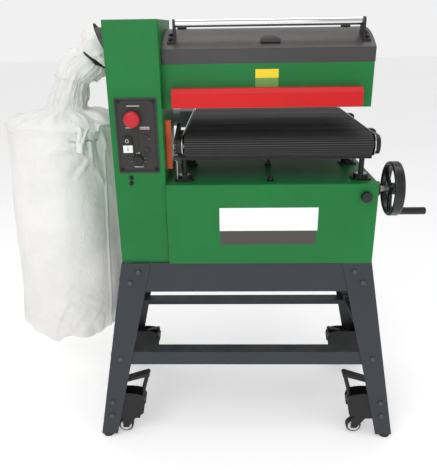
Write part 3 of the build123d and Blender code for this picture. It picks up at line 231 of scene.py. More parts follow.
def finish_of(name, colour, rough, metal=0.0, shade=0.82, worn=None, wear=0.5, dust=0.0, fine=500.0,
              bump=0.02, edge=0.0012, stretch=(1, 1, 1), smudge=0.08, lift=0.0, **shader):
    """Paint, moulding or metal: slow tone change, smudged gloss, fine texture, rubbed edges, a painted
    highlight along every edge where lift is given, and dust.
    """
    made, tree, surface, coord = begin(name, **shader)
    grain = grouped(tree, GRAIN, {"Coord": coord, "Fine": fine, "Stretch": stretch})
    edges = grouped(tree, EDGE_WEAR_AND_HIGHLIGHT, {"Coord": coord, "Radius": edge})
    deep = tuple(c * shade for c in colour[:3]) + (1.0,)
    body = blend_colour(tree, grain.outputs["Tone"], deep, colour)
    # lift paints a lighter tint of the colour along every edge: a painted edge highlight, not wear.
    if lift:
        light = tuple(min(1.0, c + (1 - c) * lift) for c in colour[:3]) + (1.0,)
        body = blend_colour(tree, maths(tree, "MULTIPLY", edges.outputs["Edge"], 0.55), body, light)
    body = blend_colour(tree, maths(tree, "MULTIPLY", edges.outputs["Wear"], wear), body,
                        worn or BARE_STEEL)
    if dust:
        settled = grouped(tree, WOOD_DUST, {"Coord": coord, "Amount": dust})
        body = blend_colour(tree, settled.outputs["Dust"], body, DUST_COLOUR)
    tree.links.new(body, surface.inputs["Base Color"])
    gloss = maths(tree, "MULTIPLY_ADD", grain.outputs["Smudge"], smudge, rough)
    tree.links.new(maths(tree, "MULTIPLY_ADD", grain.outputs["Tone"], 0.04, gloss),
                   surface.inputs["Roughness"])
    surface.inputs["Metallic"].default_value = metal
    relief = add(tree, "ShaderNodeBump", {"Strength": 1.0, "Distance": bump / 1000,
                                          "Height": grain.outputs["Height"],
                                          "Normal": edges.outputs["Normal"]})
    tree.links.new(relief.outputs[0], surface.inputs["Normal"])
    return made


def cloth_finish(name, colour):
    """White filter cloth: woven relief, crushed creases, a little sheen."""
    made, tree, surface, coord = begin(name, **{"Sheen Weight": 0.2, "Sheen Roughness": 0.6})
    own = add(tree, "ShaderNodeUVMap", uv_map="cut").outputs[0]
    weave = grouped(tree, WEAVE, {"Coord": own, "Threads": 700.0})
    slow = noise_value(tree, coord, 9.0, 4.0, 0.6)
    crush = noise_value(tree, coord, 15.0, 6.0, 0.58, (1, 1, 0.7))
    ridge = maths(tree, "ABSOLUTE", maths(tree, "MULTIPLY_ADD", crush, 2.0, -1.0))
    ridge = maths(tree, "POWER", maths(tree, "SUBTRACT", 1.0, ridge), 5.0)
    shade = tuple(c * 0.90 for c in colour[:3]) + (1.0,)
    body = blend_colour(tree, band(tree, slow, 0.35, 0.7), colour, shade)
    body = blend_colour(tree, maths(tree, "MULTIPLY", weave.outputs["Thread"], 0.10), body,
                        rgb(206, 202, 196))
    tree.links.new(body, surface.inputs["Base Color"])
    tree.links.new(maths(tree, "MULTIPLY_ADD", slow, 0.1, 0.78), surface.inputs["Roughness"])
    soft = add(tree, "ShaderNodeBump", {"Strength": 0.55, "Distance": 0.002, "Height": ridge})
    relief = add(tree, "ShaderNodeBump", {"Strength": 0.5, "Distance": 0.0003,
                                          "Height": weave.outputs["Height"],
                                          "Normal": soft.outputs[0]})
    tree.links.new(relief.outputs[0], surface.inputs["Normal"])
    return made


RIB_PITCH = 0.006


def belt_finish(name):
    """Black rubber, ribbed along its width, with painted highlights as pale lines on its rib tops, greyed by
    dust where the boards run.
    """
    made, tree, surface, coord = begin(name, **{"Specular IOR Level": 0.3})
    own = add(tree, "ShaderNodeUVMap", uv_map="cut").outputs[0]
    fine = noise_value(tree, own, 900.0, 2.0, 0.6)
    rub = noise_value(tree, own, 14.0, 5.0, 0.7, (1, 3, 1))
    body = blend_colour(tree, band(tree, rub, 0.35, 0.7), rgb(20, 19, 20), rgb(34, 33, 34))
    # Pale lines at the rib pitch are painted highlights on the rib tops.
    along = add(tree, "ShaderNodeSeparateXYZ", {0: own}).outputs["Y"]
    thread = maths(tree, "SINE", maths(tree, "MULTIPLY", along, math.tau / RIB_PITCH))
    body = blend_colour(tree, band(tree, thread, 0.75, 0.98, 0.0, 0.6), body, rgb(112, 110, 110))
    settled = grouped(tree, WOOD_DUST, {"Coord": coord, "Amount": 0.06})
    body = blend_colour(tree, settled.outputs["Dust"], body, rgb(96, 92, 88))
    tree.links.new(body, surface.inputs["Base Color"])
    tree.links.new(band(tree, rub, 0.3, 0.7, 0.46, 0.62), surface.inputs["Roughness"])
    relief = add(tree, "ShaderNodeBump", {"Strength": 0.6, "Distance": 0.0003, "Height": fine})
    tree.links.new(relief.outputs[0], surface.inputs["Normal"])
    return made


def abrasive_finish(name):
    """Aluminium oxide cloth: coarse brown grit."""
    made, tree, surface, coord = begin(name)
    grit = add(tree, "ShaderNodeTexVoronoi", {"Vector": coord, "Scale": 1300.0})
    slow = noise_value(tree, coord, 30.0, 4.0)
    body = blend_colour(tree, grit.outputs["Distance"], rgb(96, 52, 30), rgb(160, 104, 66))
    body = blend_colour(tree, band(tree, slow, 0.4, 0.7), body, rgb(120, 82, 56))
    tree.links.new(body, surface.inputs["Base Color"])
    tree.links.new(band(tree, slow, 0.3, 0.7, 0.8, 0.92), surface.inputs["Roughness"])
    relief = add(tree, "ShaderNodeBump", {"Strength": 1.0, "Distance": 0.0004,
                                          "Height": grit.outputs["Distance"]})
    tree.links.new(relief.outputs[0], surface.inputs["Normal"])
    return made


# lift sets how strongly a finish paints a lighter highlight along its edges.
FINISH = {
    "green_paint": finish_of(
        "green_enamel", rgb(10, 118, 52), 0.40, shade=0.86, worn=rgb(96, 176, 120), wear=0.30, lift=0.16,
        fine=420.0, bump=0.05, **{"Specular IOR Level": 0.35}),
    "slate_paint": finish_of(
        "slate_powder_coat", rgb(42, 48, 55), 0.46, shade=0.84, worn=rgb(120, 122, 126), wear=0.3,
        dust=0.08, lift=0.10, fine=700.0, bump=0.06),
    "hood_grey": finish_of(
        "hood_enamel", rgb(58, 56, 56), 0.36, shade=0.88, worn=rgb(130, 128, 126), wear=0.3, dust=0.06,
        lift=0.10, fine=500.0, bump=0.05),
    "guard_red": finish_of(
        "guard_enamel", rgb(206, 4, 12), 0.36, shade=0.9, worn=rgb(240, 110, 108), wear=0.4, lift=0.10,
        fine=450.0, bump=0.04, **{"Specular IOR Level": 0.35}),
    "stop_red": finish_of(
        "stop_button_moulding", rgb(196, 20, 30), 0.30, shade=0.9, worn=rgb(224, 110, 110), wear=0.2,
        lift=0.16, edge=0.001),
    "button_white": finish_of(
        "white_key_moulding", rgb(238, 238, 236), 0.32, shade=0.95, worn=rgb(210, 206, 200), wear=0.3,
        edge=0.0008),
    "button_black": finish_of(
        "black_key_moulding", rgb(22, 22, 23), 0.30, shade=0.8, worn=rgb(70, 70, 70), wear=0.3, edge=0.0008),
    "wheel_black": finish_of(
        "black_phenolic", rgb(20, 20, 21), 0.20, shade=0.8, worn=rgb(60, 60, 60), wear=0.3, edge=0.001,
        bump=0.03),
    "panel_grey": finish_of(
        "panel_moulding", rgb(40, 38, 37), 0.52, shade=0.88, worn=rgb(104, 100, 98), wear=0.4, lift=0.12,
        fine=900.0, bump=0.06, edge=0.0022),
    "rubber_black": finish_of(
        "black_rubber", rgb(30, 30, 31), 0.62, shade=0.8, worn=rgb(74, 72, 70), wear=0.5, dust=0.12,
        fine=600.0, bump=0.08),
    "feed_belt": belt_finish("ribbed_feed_belt"),
    "black_steel": finish_of(
        "black_oxide_steel", rgb(30, 30, 32), 0.36, metal=0.35, shade=0.75, worn=rgb(128, 126, 122),
        wear=0.55, dust=0.08, bump=0.05),
    "fan_grey": finish_of(
        "fan_enamel", rgb(58, 58, 61), 0.42, shade=0.86, worn=rgb(110, 110, 110), wear=0.4, dust=0.1,
        bump=0.08),
    "motor_grey": finish_of(
        "motor_enamel", rgb(92, 96, 99), 0.48, shade=0.84, worn=rgb(150, 150, 148), wear=0.4, dust=0.2,
        bump=0.12),
    "bolt_black": finish_of(
        "black_bolt", rgb(34, 34, 36), 0.34, metal=0.5, shade=0.75, worn=rgb(150, 148, 144), wear=0.5,
        edge=0.0006),
    "bright_steel": finish_of(
        "turned_steel", rgb(188, 188, 190), 0.26, metal=1.0, shade=0.86, wear=0.2, stretch=(1, 14, 14),
        fine=160.0, bump=0.01),
    "bar_chrome": finish_of(
        "polished_bar", rgb(226, 226, 228), 0.10, metal=1.0, shade=0.95, wear=0.1, stretch=(0.1, 4, 4),
        fine=200.0, bump=0.004, smudge=0.06),
    "drum_alloy": finish_of(
        "drum_casting", rgb(168, 168, 170), 0.40, metal=1.0, shade=0.85, dust=0.2, bump=0.05),
    "pulley_iron": finish_of(
        "pulley_casting", rgb(74, 74, 76), 0.46, metal=0.8, shade=0.8, dust=0.25, bump=0.08),
    "abrasive_brown": abrasive_finish("abrasive_cloth"),
    "bag_cloth": cloth_finish("filter_cloth", rgb(246, 245, 243)),
    "strap_black": finish_of(
        "strap_webbing", rgb(30, 30, 32), 0.6, shade=0.8, worn=rgb(80, 80, 80), wear=0.3, stretch=(1, 8, 1),
        fine=500.0, bump=0.2),
}
SCALE_ORANGE = finish_of("scale_strip", rgb(255, 104, 54), 0.5, shade=0.94, wear=0.2,
                         worn=rgb(244, 160, 130))
PRINT_BLACK = finish_of("black_print", rgb(26, 26, 27), 0.5, shade=0.9, wear=0.1)
PRINT_PALE = finish_of("pale_print", rgb(206, 204, 200), 0.5, shade=0.94, wear=0.1, worn=rgb(150, 150, 150))
PLATE_WHITE = finish_of("white_plate", rgb(248, 248, 247), 0.34, shade=0.97, wear=0.2,
                        worn=rgb(200, 200, 200))
PLATE_GREY = finish_of("grey_plate", rgb(72, 66, 66), 0.38, shade=0.94, wear=0.2)
LABEL_YELLOW = finish_of("yellow_label", rgb(244, 216, 22), 0.4, shade=0.96, wear=0.1)
LABEL_GREEN = finish_of("green_label", rgb(104, 160, 78), 0.4, shade=0.94, wear=0.1)
EDGE_STEEL = finish_of("edge_trim", rgb(214, 214, 216), 0.22, metal=1.0, shade=0.9, fine=200.0, bump=0.01)

FINISH["stand_bolt"] = finish_of("stand_bolts", rgb(84, 88, 94), 0.32, metal=0.7, shade=0.8, wear=0.5,
                                 edge=0.0008)
FINISH["latch_dark"] = finish_of("latch_plate", rgb(40, 38, 39), 0.34, metal=0.3, shade=0.85, wear=0.4,
                                 edge=0.0008)
NODE_FINISH = {"lift_screws": "black_steel", "fasteners": "stand_bolt", "hood_latch": "latch_dark",
               "conveyor_table": "black_steel"}

# Each carried-over CAD node takes the finish of its own slot in the record.
SLOT_OF = {}
for material in frame["record"]["materials"]:
    for node in material.get("nodes") or []:
        SLOT_OF[node] = material["slot"]
for name, obj in frame["nodes"].items():
    slot = NODE_FINISH.get(name) or SLOT_OF.get(name)
    if slot is None and obj.material_slots:
        slot = obj.material_slots[0].name.split(".")[0]
    if slot in FINISH:
        for held in obj.material_slots:
            held.material = FINISH[slot]
    else:
        print("no finish for", name, slot)


# ---------------------------------------------------------------- mesh building

def piece(name, mesh, material, body, smooth=None):
    """A finished mesh as an object at the origin that rides on a CAD body."""
    obj = bpy.data.objects.new(name, mesh)
    bpy.context.scene.collection.objects.link(obj)
    if material is not None:
        mesh.materials.clear()
        mesh.materials.append(material)
    if smooth is not None:
        mesh.shade_smooth() if smooth >= 180 else mesh.set_sharp_from_angle(angle=math.radians(smooth))
    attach(obj, body)
    return obj


def mesh_of(name, work):
    bmesh.ops.recalc_face_normals(work, faces=work.faces)
    mesh = bpy.data.meshes.new(name)
    work.to_mesh(mesh)
    work.free()
    return mesh


def softened_cube(work, place, width):
    """A bevelled block: a unit cube under a placing matrix, which holds its size."""
    made = bmesh.ops.create_cube(work, size=1.0, matrix=place)
    edges = list({e for v in made["verts"] for e in v.link_edges})
    bmesh.ops.bevel(work, geom=edges, offset=width, segments=2, affect="EDGES", profile=0.5)


def plates(name, boxes, soften=0.0004):
    """One mesh of small bevelled blocks, each given by two corners in mm."""
    work = bmesh.new()
    for low, high in boxes:
        size = [abs(b - a) / 1000 for a, b in zip(low, high)]
        centre = spot(*[(a + b) / 2 for a, b in zip(low, high)])
        place = Matrix.Translation(centre) @ Matrix.Diagonal((*size, 1))
        softened_cube(work, place, min(soften, min(size) * 0.35))
    return mesh_of(name, work)


def plate_piece(name, boxes, material, body, soften=0.0004):
    piece(name, plates(name, boxes, soften), material, body)


def turned(name, profile, centre, axis, steps=48, closed=True):
    """A solid of revolution: (distance along the axis, radius) pairs in mm from the centre."""
    work = bmesh.new()
    turn = axis.to_track_quat("Z", "Y")
    rings = []
    for along, radius in profile:
        if radius <= 0:
            rings.append([work.verts.new(centre + turn @ Vector((0, 0, along / 1000)))])
            continue
        rings.append([work.verts.new(centre + turn @ Vector((
            radius / 1000 * math.cos(math.tau * k / steps), radius / 1000 * math.sin(math.tau * k / steps),
            along / 1000))) for k in range(steps)])
    for a, b in zip(rings, rings[1:]):
        for k in range(steps):
            m = (k + 1) % steps
            if len(a) == 1:
                work.faces.new((a[0], b[k], b[m]))
            elif len(b) == 1:
                work.faces.new((a[k], a[m], b[0]))
            else:
                work.faces.new((a[k], a[m], b[m], b[k]))
    if closed:
        for ring in (rings[0], rings[-1]):
            if len(ring) > 1:
                work.faces.new(ring)
    return mesh_of(name, work)


# ---------------------------------------------------------------- Geometry Nodes

def growth(name, inputs):
    """An empty Geometry Nodes tree with named inputs after its geometry."""
    shape = ("Geometry", "NodeSocketGeometry")
    return group("GeometryNodeTree", name, [(*shape, None)] + inputs, [shape])


def end_growth(tree, start, end, instances):
    real = add(tree, "GeometryNodeRealizeInstances", {"Geometry": instances})
    coated = add(tree, "GeometryNodeSetMaterial",
                 {"Geometry": real.outputs[0], "Material": start.outputs["Material"]})
    tree.links.new(coated.outputs[0], end.inputs[0])
    return tree


def placed_at(tree, start, end, points, thing, aim):
    """The thing at every point, turned along the aim."""
    turn = add(tree, "FunctionNodeAlignRotationToVector", {"Vector": aim}, axis="Z")
    placed = add(tree, "GeometryNodeInstanceOnPoints",
                 {"Points": points, "Instance": thing, "Rotation": turn.outputs[0]})
    return end_growth(tree, start, end, placed.outputs[0])


def aim_of_points(tree):
    return add(tree, "GeometryNodeInputNamedAttribute", {"Name": "aim"},
               data_type="FLOAT_VECTOR").outputs[0]


def bolt_heads_tree():
    """A hex head on a washer at every point, turned along the point's aim."""
    tree, start, end = growth("bolt_heads", [
        ("Radius", "NodeSocketFloat", 0.006), ("Height", "NodeSocketFloat", 0.004),
        ("Sides", "NodeSocketInt", 6),
        ("Washer", "NodeSocketFloat", 0.008), ("Material", "NodeSocketMaterial", None)])
    head = add(tree, "GeometryNodeMeshCone", {
        "Vertices": start.outputs["Sides"], "Radius Bottom": start.outputs["Radius"],
        "Radius Top": maths(tree, "MULTIPLY", start.outputs["Radius"], 0.86),
        "Depth": start.outputs["Height"]})
    washer = add(tree, "GeometryNodeMeshCylinder", {
        "Vertices": 24, "Radius": start.outputs["Washer"],
        "Depth": maths(tree, "MULTIPLY", start.outputs["Height"], 0.3)})
    both = add(tree, "GeometryNodeJoinGeometry")
    tree.links.new(head.outputs[0], both.inputs[0])
    tree.links.new(washer.outputs[0], both.inputs[0])
    return placed_at(tree, start, end, start.outputs["Geometry"], both.outputs[0], aim_of_points(tree))


def bars_tree():
    """A small bar at every point, along the point's aim, with its size given by the inputs."""
    tree, start, end = growth("bars_at_points", [
        ("Size", "NodeSocketVector", (0.01, 0.001, 0.001)), ("Material", "NodeSocketMaterial", None)])
    block = add(tree, "GeometryNodeMeshCube", {"Size": start.outputs["Size"]})
    return placed_at(tree, start, end, start.outputs["Geometry"], block.outputs[0], aim_of_points(tree))


def seam_tree():
    """Stitches along a path: short rounded threads at an even spacing."""
    tree, start, end = growth("stitches", [
        ("Spacing", "NodeSocketFloat", 0.006), ("Length", "NodeSocketFloat", 0.004),
        ("Thread", "NodeSocketFloat", 0.0006), ("Material", "NodeSocketMaterial", None)])
    path = add(tree, "GeometryNodeMeshToCurve", {"Mesh": start.outputs["Geometry"]})
    points = add(tree, "GeometryNodeCurveToPoints",
                 {"Curve": path.outputs[0], "Length": start.outputs["Spacing"]}, mode="LENGTH")
    thread = add(tree, "GeometryNodeMeshCylinder", {
        "Vertices": 6, "Radius": start.outputs["Thread"], "Depth": start.outputs["Length"]})
    return placed_at(tree, start, end, points.outputs[0], thread.outputs[0], points.outputs["Tangent"])


def sweep_tree():
    """A strip of four-sided section swept along a path."""
    tree, start, end = growth("swept_strip", [
        ("Width", "NodeSocketFloat", 0.002), ("Thickness", "NodeSocketFloat", 0.001),
        ("Material", "NodeSocketMaterial", None)])
    path = add(tree, "GeometryNodeMeshToCurve", {"Mesh": start.outputs["Geometry"]})
    section = add(tree, "GeometryNodeCurvePrimitiveQuadrilateral",
                  {"Width": start.outputs["Width"], "Height": start.outputs["Thickness"]})
    swept = add(tree, "GeometryNodeCurveToMesh", {
        "Curve": path.outputs[0], "Profile Curve": section.outputs[0], "Fill Caps": True})
    return end_growth(tree, start, end, swept.outputs[0])


BOLT_HEADS = bolt_heads_tree()
BARS = bars_tree()
STITCHES = seam_tree()
STRIP = sweep_tree()


def grow(name, tree, points, body, slot, aims=None, edges=None, **sizes):
    """Runs a tree on points (mm) and keeps the result as one plain mesh on one body."""
    seed = bpy.data.meshes.new(name + "_seed")
    seed.from_pydata([spot(*p) for p in points], edges or [], [])
    if aims:
        held = seed.attributes.new("aim", "FLOAT_VECTOR", "POINT")
        for item, aim in zip(held.data, aims):
            item.vector = aim
    holder = bpy.data.objects.new(name + "_seed", seed)
    bpy.context.scene.collection.objects.link(holder)
    grown = holder.modifiers.new("grow", "NODES")
    grown.node_group = tree
    for socket in tree.interface.items_tree:
        if socket.item_type == "SOCKET" and socket.in_out == "INPUT" and socket.name in sizes:
            grown[socket.identifier] = sizes[socket.name]
    graph = bpy.context.evaluated_depsgraph_get()
    mesh = bpy.data.meshes.new_from_object(holder.evaluated_get(graph), preserve_all_data_layers=True,
                                           depsgraph=graph)
    holder.modifiers.remove(grown)
    bpy.data.objects.remove(holder)
    bpy.data.meshes.remove(seed)
    return piece(name, mesh, None, body)


def path_edges(count, closed=False):
    return [(i, (i + 1) % count) for i in range(count if closed else count - 1)]


# ---------------------------------------------------------------- dust bag

BAG_Y = 175.0
STRAP_AT = (-438.0, 1057.5, 50.0)
SEAM_ANGLE = 57.5
# Rings from the port's mouth to the shoulder: x, z, half width, the way the ring looks in degrees below left,
# and how much longer the ring is across than along Y.
MOUTH_RINGS = [
    (-403, 1090, 52, 25, 1.26), (-405, 1088, 54, 26, 1.25), (-409, 1085, 58, 28, 1.22),
    (-414, 1081, 62, 31, 1.14), (-420, 1076, 63, 35, 1.04), (-427, 1069, 60, 40, 1.0),
    (-433, 1063, 53, 46, 1.0), (-437, 1058.5, 48.0, 50, 1.0), (-440, 1056, 47.6, 50, 1.0),
    (-444, 1052, 49, 50, 1.0), (-450, 1047, 54, 50, 1.0),
]
NECK_RINGS = [
    (-460, 1042, 57, 48, 1.0), (-473, 1032, 58, 49, 1.0), (-484, 1021, 59, 56, 1.0),
    (-490, 1012, 59, 68, 1.0), (-495, 1003.5, 59, 78, 1.0), (-500, 998, 57, 82, 1.0),
    (-503, 995, 50, 82, 1.0), (-506, 990, 46, 82, 1.0), (-510, 982, 45.5, 82, 1.0),
    (-515, 970, 47.5, 83, 1.0), (-520, 957, 51, 84, 1.0), (-525, 943, 53.5, 85, 1.0),
    (-531, 928, 55, 87, 1.0), (-537, 916, 60, 89, 1.0),
]
TOP_RINGS = [
    (-541, 908, 73, 90), (-544, 903, 92, 90), (-546, 898, 114, 90), (-548, 892, 136, 90),
    (-549, 885, 154, 90), (-549, 879, 165, 90),
]
WELT_RINGS = [(-549, 874, 169.5, 90), (-549, 868, 170, 90), (-550, 860, 167, 90), (-551, 846, 166.5, 90)]
BAG_FOOT = (-586.0, 190.0, 168.0)
BAG_RADIUS = 168.0
# How far the bottom has dropped and its radius, from the rim to the middle.
BOTTOM_RINGS = [(7, 166), (13, 160), (18, 150), (22, 134), (25, 112), (27, 84), (28, 54), (28.5, 26),
                (29, 6)]
BODY_STEPS = 80
# The bag's middle line leans: its place at the top, and how far it goes left on the way down.
MIDDLE_X, MIDDLE_Z = -549, 893
LEAN, LEAN_DROP = 38, 715
MM_PER_DEGREE = 2.9
# Folds of the cloth: angle from the front towards the right and height at both ends, then rise and width.
FOLDS = [
    (-20, 813, -4, 781, 6.0, 8), (-4, 781, 18, 768, 6.0, 8), (0, 806, 31, 826, 8.0, 7),
    (2, 799, 30, 805, -5.0, 6), (38, 777, 25, 739, 7.0, 6), (33, 775, 21, 742, -5.0, 7),
    (41, 862, 42, 757, 5.5, 6), (54, 866, 65, 754, 6.0, 7), (47, 850, 52, 775, -5.0, 8),
    (42, 539, 78, 532, 3.0, 5), (-8, 316, 21, 336, 5.0, 5), (-8, 221, 8, 333, 5.0, 6),
    (4, 359, 12, 390, 4.0, 5), (14, 230, 27, 300, 3.5, 7), (-30, 250, -22, 330, 3.5, 8),
    (30, 235, 42, 285, 3.5, 7), (-38, 846, -12, 826, 4.5, 8), (60, 700, 72, 640, 3.5, 8),
    (-60, 780, -42, 640, 3.0, 11), (70, 420, 84, 330, 3.5, 9), (-30, 790, -10, 762, 3.5, 6),
    (8, 752, 30, 726, 3.5, 6), (48, 742, 56, 690, 4.0, 6), (-14, 300, 2, 252, 3.5, 6),
    (20, 360, 46, 300, 3.0, 7), (-36, 430, -20, 380, 2.5, 8), (36, 640, 54, 620, 2.5, 6),
    (100, 800, 130, 700, 4.0, 12), (150, 820, 170, 640, 4.0, 14), (-120, 800, -100, 620, 4.0, 14),
    (-150, 300, -130, 420, 4.0, 12), (110, 260, 140, 380, 4.0, 12), (180, 500, 200, 380, 3.0, 14),
    (-90, 700, -78, 560, 3.0, 12),
]


def fold_height(angle, height):
    """How far the cloth stands out at a place, from every fold near it, in mm."""
    total = 0.0
    for a0, z0, a1, z1, rise, width in FOLDS:
        gap = (angle - a0 + 180) % 360 - 180
        px, pz = gap * MM_PER_DEGREE, height - z0
        dx, dz = (a1 - a0) * MM_PER_DEGREE, z1 - z0
        share = max(0.0, min(1.0, (px * dx + pz * dz) / (dx * dx + dz * dz)))
        far = math.hypot(px - dx * share, pz - dz * share)
        if far < width * 3:
            total += rise * (1.0 - abs(share - 0.45)) * math.exp(-(far / width) ** 2)
    return total


def creases(out, height, size, stretch, seed):
    """Sharp ridges where stiff cloth has been crushed, from 0 to 1."""
    value = noise.noise(Vector((out.x * size, out.y * size, height * stretch + seed)))
    return max(0.0, 1 - abs(value) * 3.2) ** 2


def bag_rings():
    """Every ring of the bag with the name of its part: mouth, neck, top, welt, body or bottom."""
    rings = [("mouth", *ring) for ring in MOUTH_RINGS] + [("neck", *ring) for ring in NECK_RINGS]
    rings += [("top", *ring, 1.0) for ring in TOP_RINGS] + [("welt", *ring, 1.0) for ring in WELT_RINGS]
    last_x, last_z, last_r = WELT_RINGS[-1][:3]
    foot_x, foot_z, foot_r = BAG_FOOT
    for k in range(1, BODY_STEPS + 1):
        share = k / BODY_STEPS
        rings.append(("body", last_x + (foot_x - last_x) * share, last_z + (foot_z - last_z) * share,
                      last_r + (foot_r - last_r) * share + 1.6 * math.sin(math.pi * share), 90.0, 1.0))
    rings += [("bottom", foot_x, foot_z - drop, radius, 90.0, 1.0) for drop, radius in BOTTOM_RINGS]
    return rings


def swell_and_rise(part, out, angle, turn, x, z, along):
    """How far the cloth leaves its plain ring, outwards and upwards in mm."""
    swell = rise = 0.0
    broad = noise.noise(Vector((out.x * 1.6, out.y * 1.6, z * 0.016 + 4)))
    if part in ("mouth", "neck"):
        gap = math.hypot(x - STRAP_AT[0], z - STRAP_AT[1])
        tied = math.exp(-(gap / 26) ** 2)
        right_side = 0.2 + 0.8 * max(0.0, math.sin(turn))
        held = math.exp(-(gap / 7) ** 2)
        free = min(1.0, along / 16)
        pleat = math.sin(turn * 15 + 2.0 * broad) * 1.6 + math.sin(turn * 31 + 1.0) * 0.8
        swell += pleat * tied * right_side * (1 - held) * free
        swell += (broad * 6.0 - 0.5) * (1 - held) * free
        swell += creases(out, z, 2.6, 0.02, 9) * 6.0 * (1 - held) * free
        swell += creases(out, z, 5.5, 0.045, 21) * 2.2 * (1 - held) * free
        over = max(0.0, -out.x * 0.85 + out.z * 0.5)
        swell += 13.0 * held * over ** 2
    if part == "neck" and z < 1000:
        swell += math.sin(turn * 8 + 1.5 * broad) * 0.9
    if part == "top":
        spoke = math.sin(turn * 11 + 3.0 * broad) + 0.6 * math.sin(turn * 23 + 1.1)
        share = max(0.0, min(1.0, (908 - z) / 30))
        loose = math.sin(math.pi * share)
        rise += 3.4 * spoke * loose + 9.0 * creases(out, z, 3.0, 0.03, 2) * loose
        rise += 8.0 * noise.noise(Vector((out.x * 2.3, out.y * 2.3, 3.3))) * loose
    if part in ("welt", "body", "bottom"):
        swell += noise.noise(Vector((out.x * 1.5, out.y * 1.5, z * 0.0042))) * 5.0
        swell += noise.noise(Vector((out.x * 4.5, out.y * 4.5, z * 0.011 + 7))) * 1.5
        creep = 0.10 + 0.7 * math.exp(-abs(z - 840) / 60) + 0.8 * math.exp(-abs(z - 220) / 70)
        swell += creases(out, z, 4.2, 0.016, 3) * 2.4 * creep + creases(out, z, 8.0, 0.03, 11) * 1.2 * creep
        swell += fold_height(angle, z)
        if z < 800:
            swell += 3.2 * math.exp(-((angle - SEAM_ANGLE) * MM_PER_DEGREE / 3.2) ** 2)
            swell -= 2.0 * math.exp(-((angle - SEAM_ANGLE - 3.6) * MM_PER_DEGREE / 6.0) ** 2)
        if z < 260:
            swell += math.sin(turn * 19 + 4.0 * broad) * 2.8 * min(1.0, (260 - z) / 80)
    if part in ("top", "welt") and z < 882:
        rise += 3.0 * noise.noise(Vector((out.x * 3.3, out.y * 3.3, 2.2)))
        if -45 < angle < 50:
            rise -= 16.0 * max(0.0, (angle + 20) / 70) ** 1.2
        if part == "welt":
            swell += 2.5 * math.exp(-((z - 871) / 5) ** 2) - 2.2 * math.exp(-((z - 858) / 5) ** 2)
    low = max(0.0, min(1.0, (330 - z) / 140))
    low = low * low * (3 - 2 * low)
    lift = 20.0 + 24.0 * max(0.0, -math.sin(math.radians(angle + 8)))
    lift += 7.0 * broad + 4.0 * math.sin(turn * 7 + 1)
    lift -= 15.0 * math.exp(-((angle + 8) / 5.5) ** 2)
    rise += lift * low
    return swell, rise


def bag_surface(steps=320):
    rings = bag_rings()
    work = bmesh.new()
    cut = work.loops.layers.uv.new("cut")
    grid, spans = [], []
    run = 0.0
    welt_row = None
    for index, (part, x, z, radius, tilt, across) in enumerate(rings):
        if index:
            before = rings[index - 1]
            run += math.hypot(math.hypot(x - before[1], z - before[2]), radius - before[3])
        if part == "welt" and welt_row is None:
            welt_row = index
        look = Vector((-math.cos(math.radians(tilt)), 0, -math.sin(math.radians(tilt))))
        side = Vector((0, -1, 0))
        right = side.cross(look)
        row = []
        for k in range(steps):
            turn = math.tau * k / steps
            out = (side * math.cos(turn) + right * math.sin(turn)).normalized()
            angle = math.degrees(turn)
            angle = angle - 360 if angle > 180 else angle
            swell, rise = swell_and_rise(part, out, angle, turn, x, z, run)
            reach = side * math.cos(turn) + right * (across * math.sin(turn))
            place = spot(x, BAG_Y, z) + reach * (radius / 1000) + out * (swell / 1000)
            row.append(work.verts.new(place + Vector((0, 0, rise / 1000))))
        grid.append(row)
        spans.append(run)
    around = math.tau * BAG_RADIUS
    for i in range(len(grid) - 1):
        for k in range(steps):
            m = (k + 1) % steps
            face = work.faces.new((grid[i][k], grid[i][m], grid[i + 1][m], grid[i + 1][k]))
            for loop, (u, v) in zip(face.loops, ((k, i), (k + 1, i), (k + 1, i + 1), (k, i + 1))):
                loop[cut].uv = (u / steps * around / 1000, spans[v] / 1000)
    bottom = work.faces.new(grid[-1])
    for loop in bottom.loops:
        loop[cut].uv = (0.0, spans[-1] / 1000)
    at_seam = round(SEAM_ANGLE / 360 * steps)
    seam_line = [grid[i][at_seam].co.copy() for i in range(welt_row + 6, len(grid) - 10)]
    ring_line = [v.co.copy() for v in grid[welt_row]]
    return mesh_of("dust_bag_cloth", work), seam_line, ring_line


def bag_middle(height):
    """X of the bag's leaning middle line at a height."""
    return MIDDLE_X - (MIDDLE_Z - height) * LEAN / LEAN_DROP


def stood_off(points, gap):
    """The points moved out from the bag's middle line, in mm from the foot centre."""
    moved = []
    for point in points:
        place = (point - FEET) * 1000
        out = Vector((place.x - bag_middle(place.z), place.y - BAG_Y, 0)).normalized()
        moved.append(place + out * gap)
    return moved


def bag_stitches(name, line, closed):
    grow(name, STITCHES, line, "frame", "bag_cloth", edges=path_edges(len(line), closed),
         Spacing=0.007, Length=0.0048, Thread=0.0005, Material=FINISH["bag_cloth"])


def dust_bag():
    mesh, seam_line, ring_line = bag_surface()
    bag = piece("dust_bag_cloth", mesh, FINISH["bag_cloth"], "frame", smooth=180)
    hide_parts("dust_bag")
    welt = stood_off(ring_line, 0.6)
    grow("bag_ring_welt", STRIP, welt, "frame", "bag_cloth", edges=path_edges(len(welt), True),
         Width=0.0030, Thickness=0.0030, Material=FINISH["bag_cloth"])
    bag_stitches("bag_seam_stitches", stood_off(seam_line, 0.3), False)
    hem = [point - Vector((0, 0, 0.011)) for point in ring_line]
    bag_stitches("bag_hem_stitches", stood_off(hem, -0.6), True)


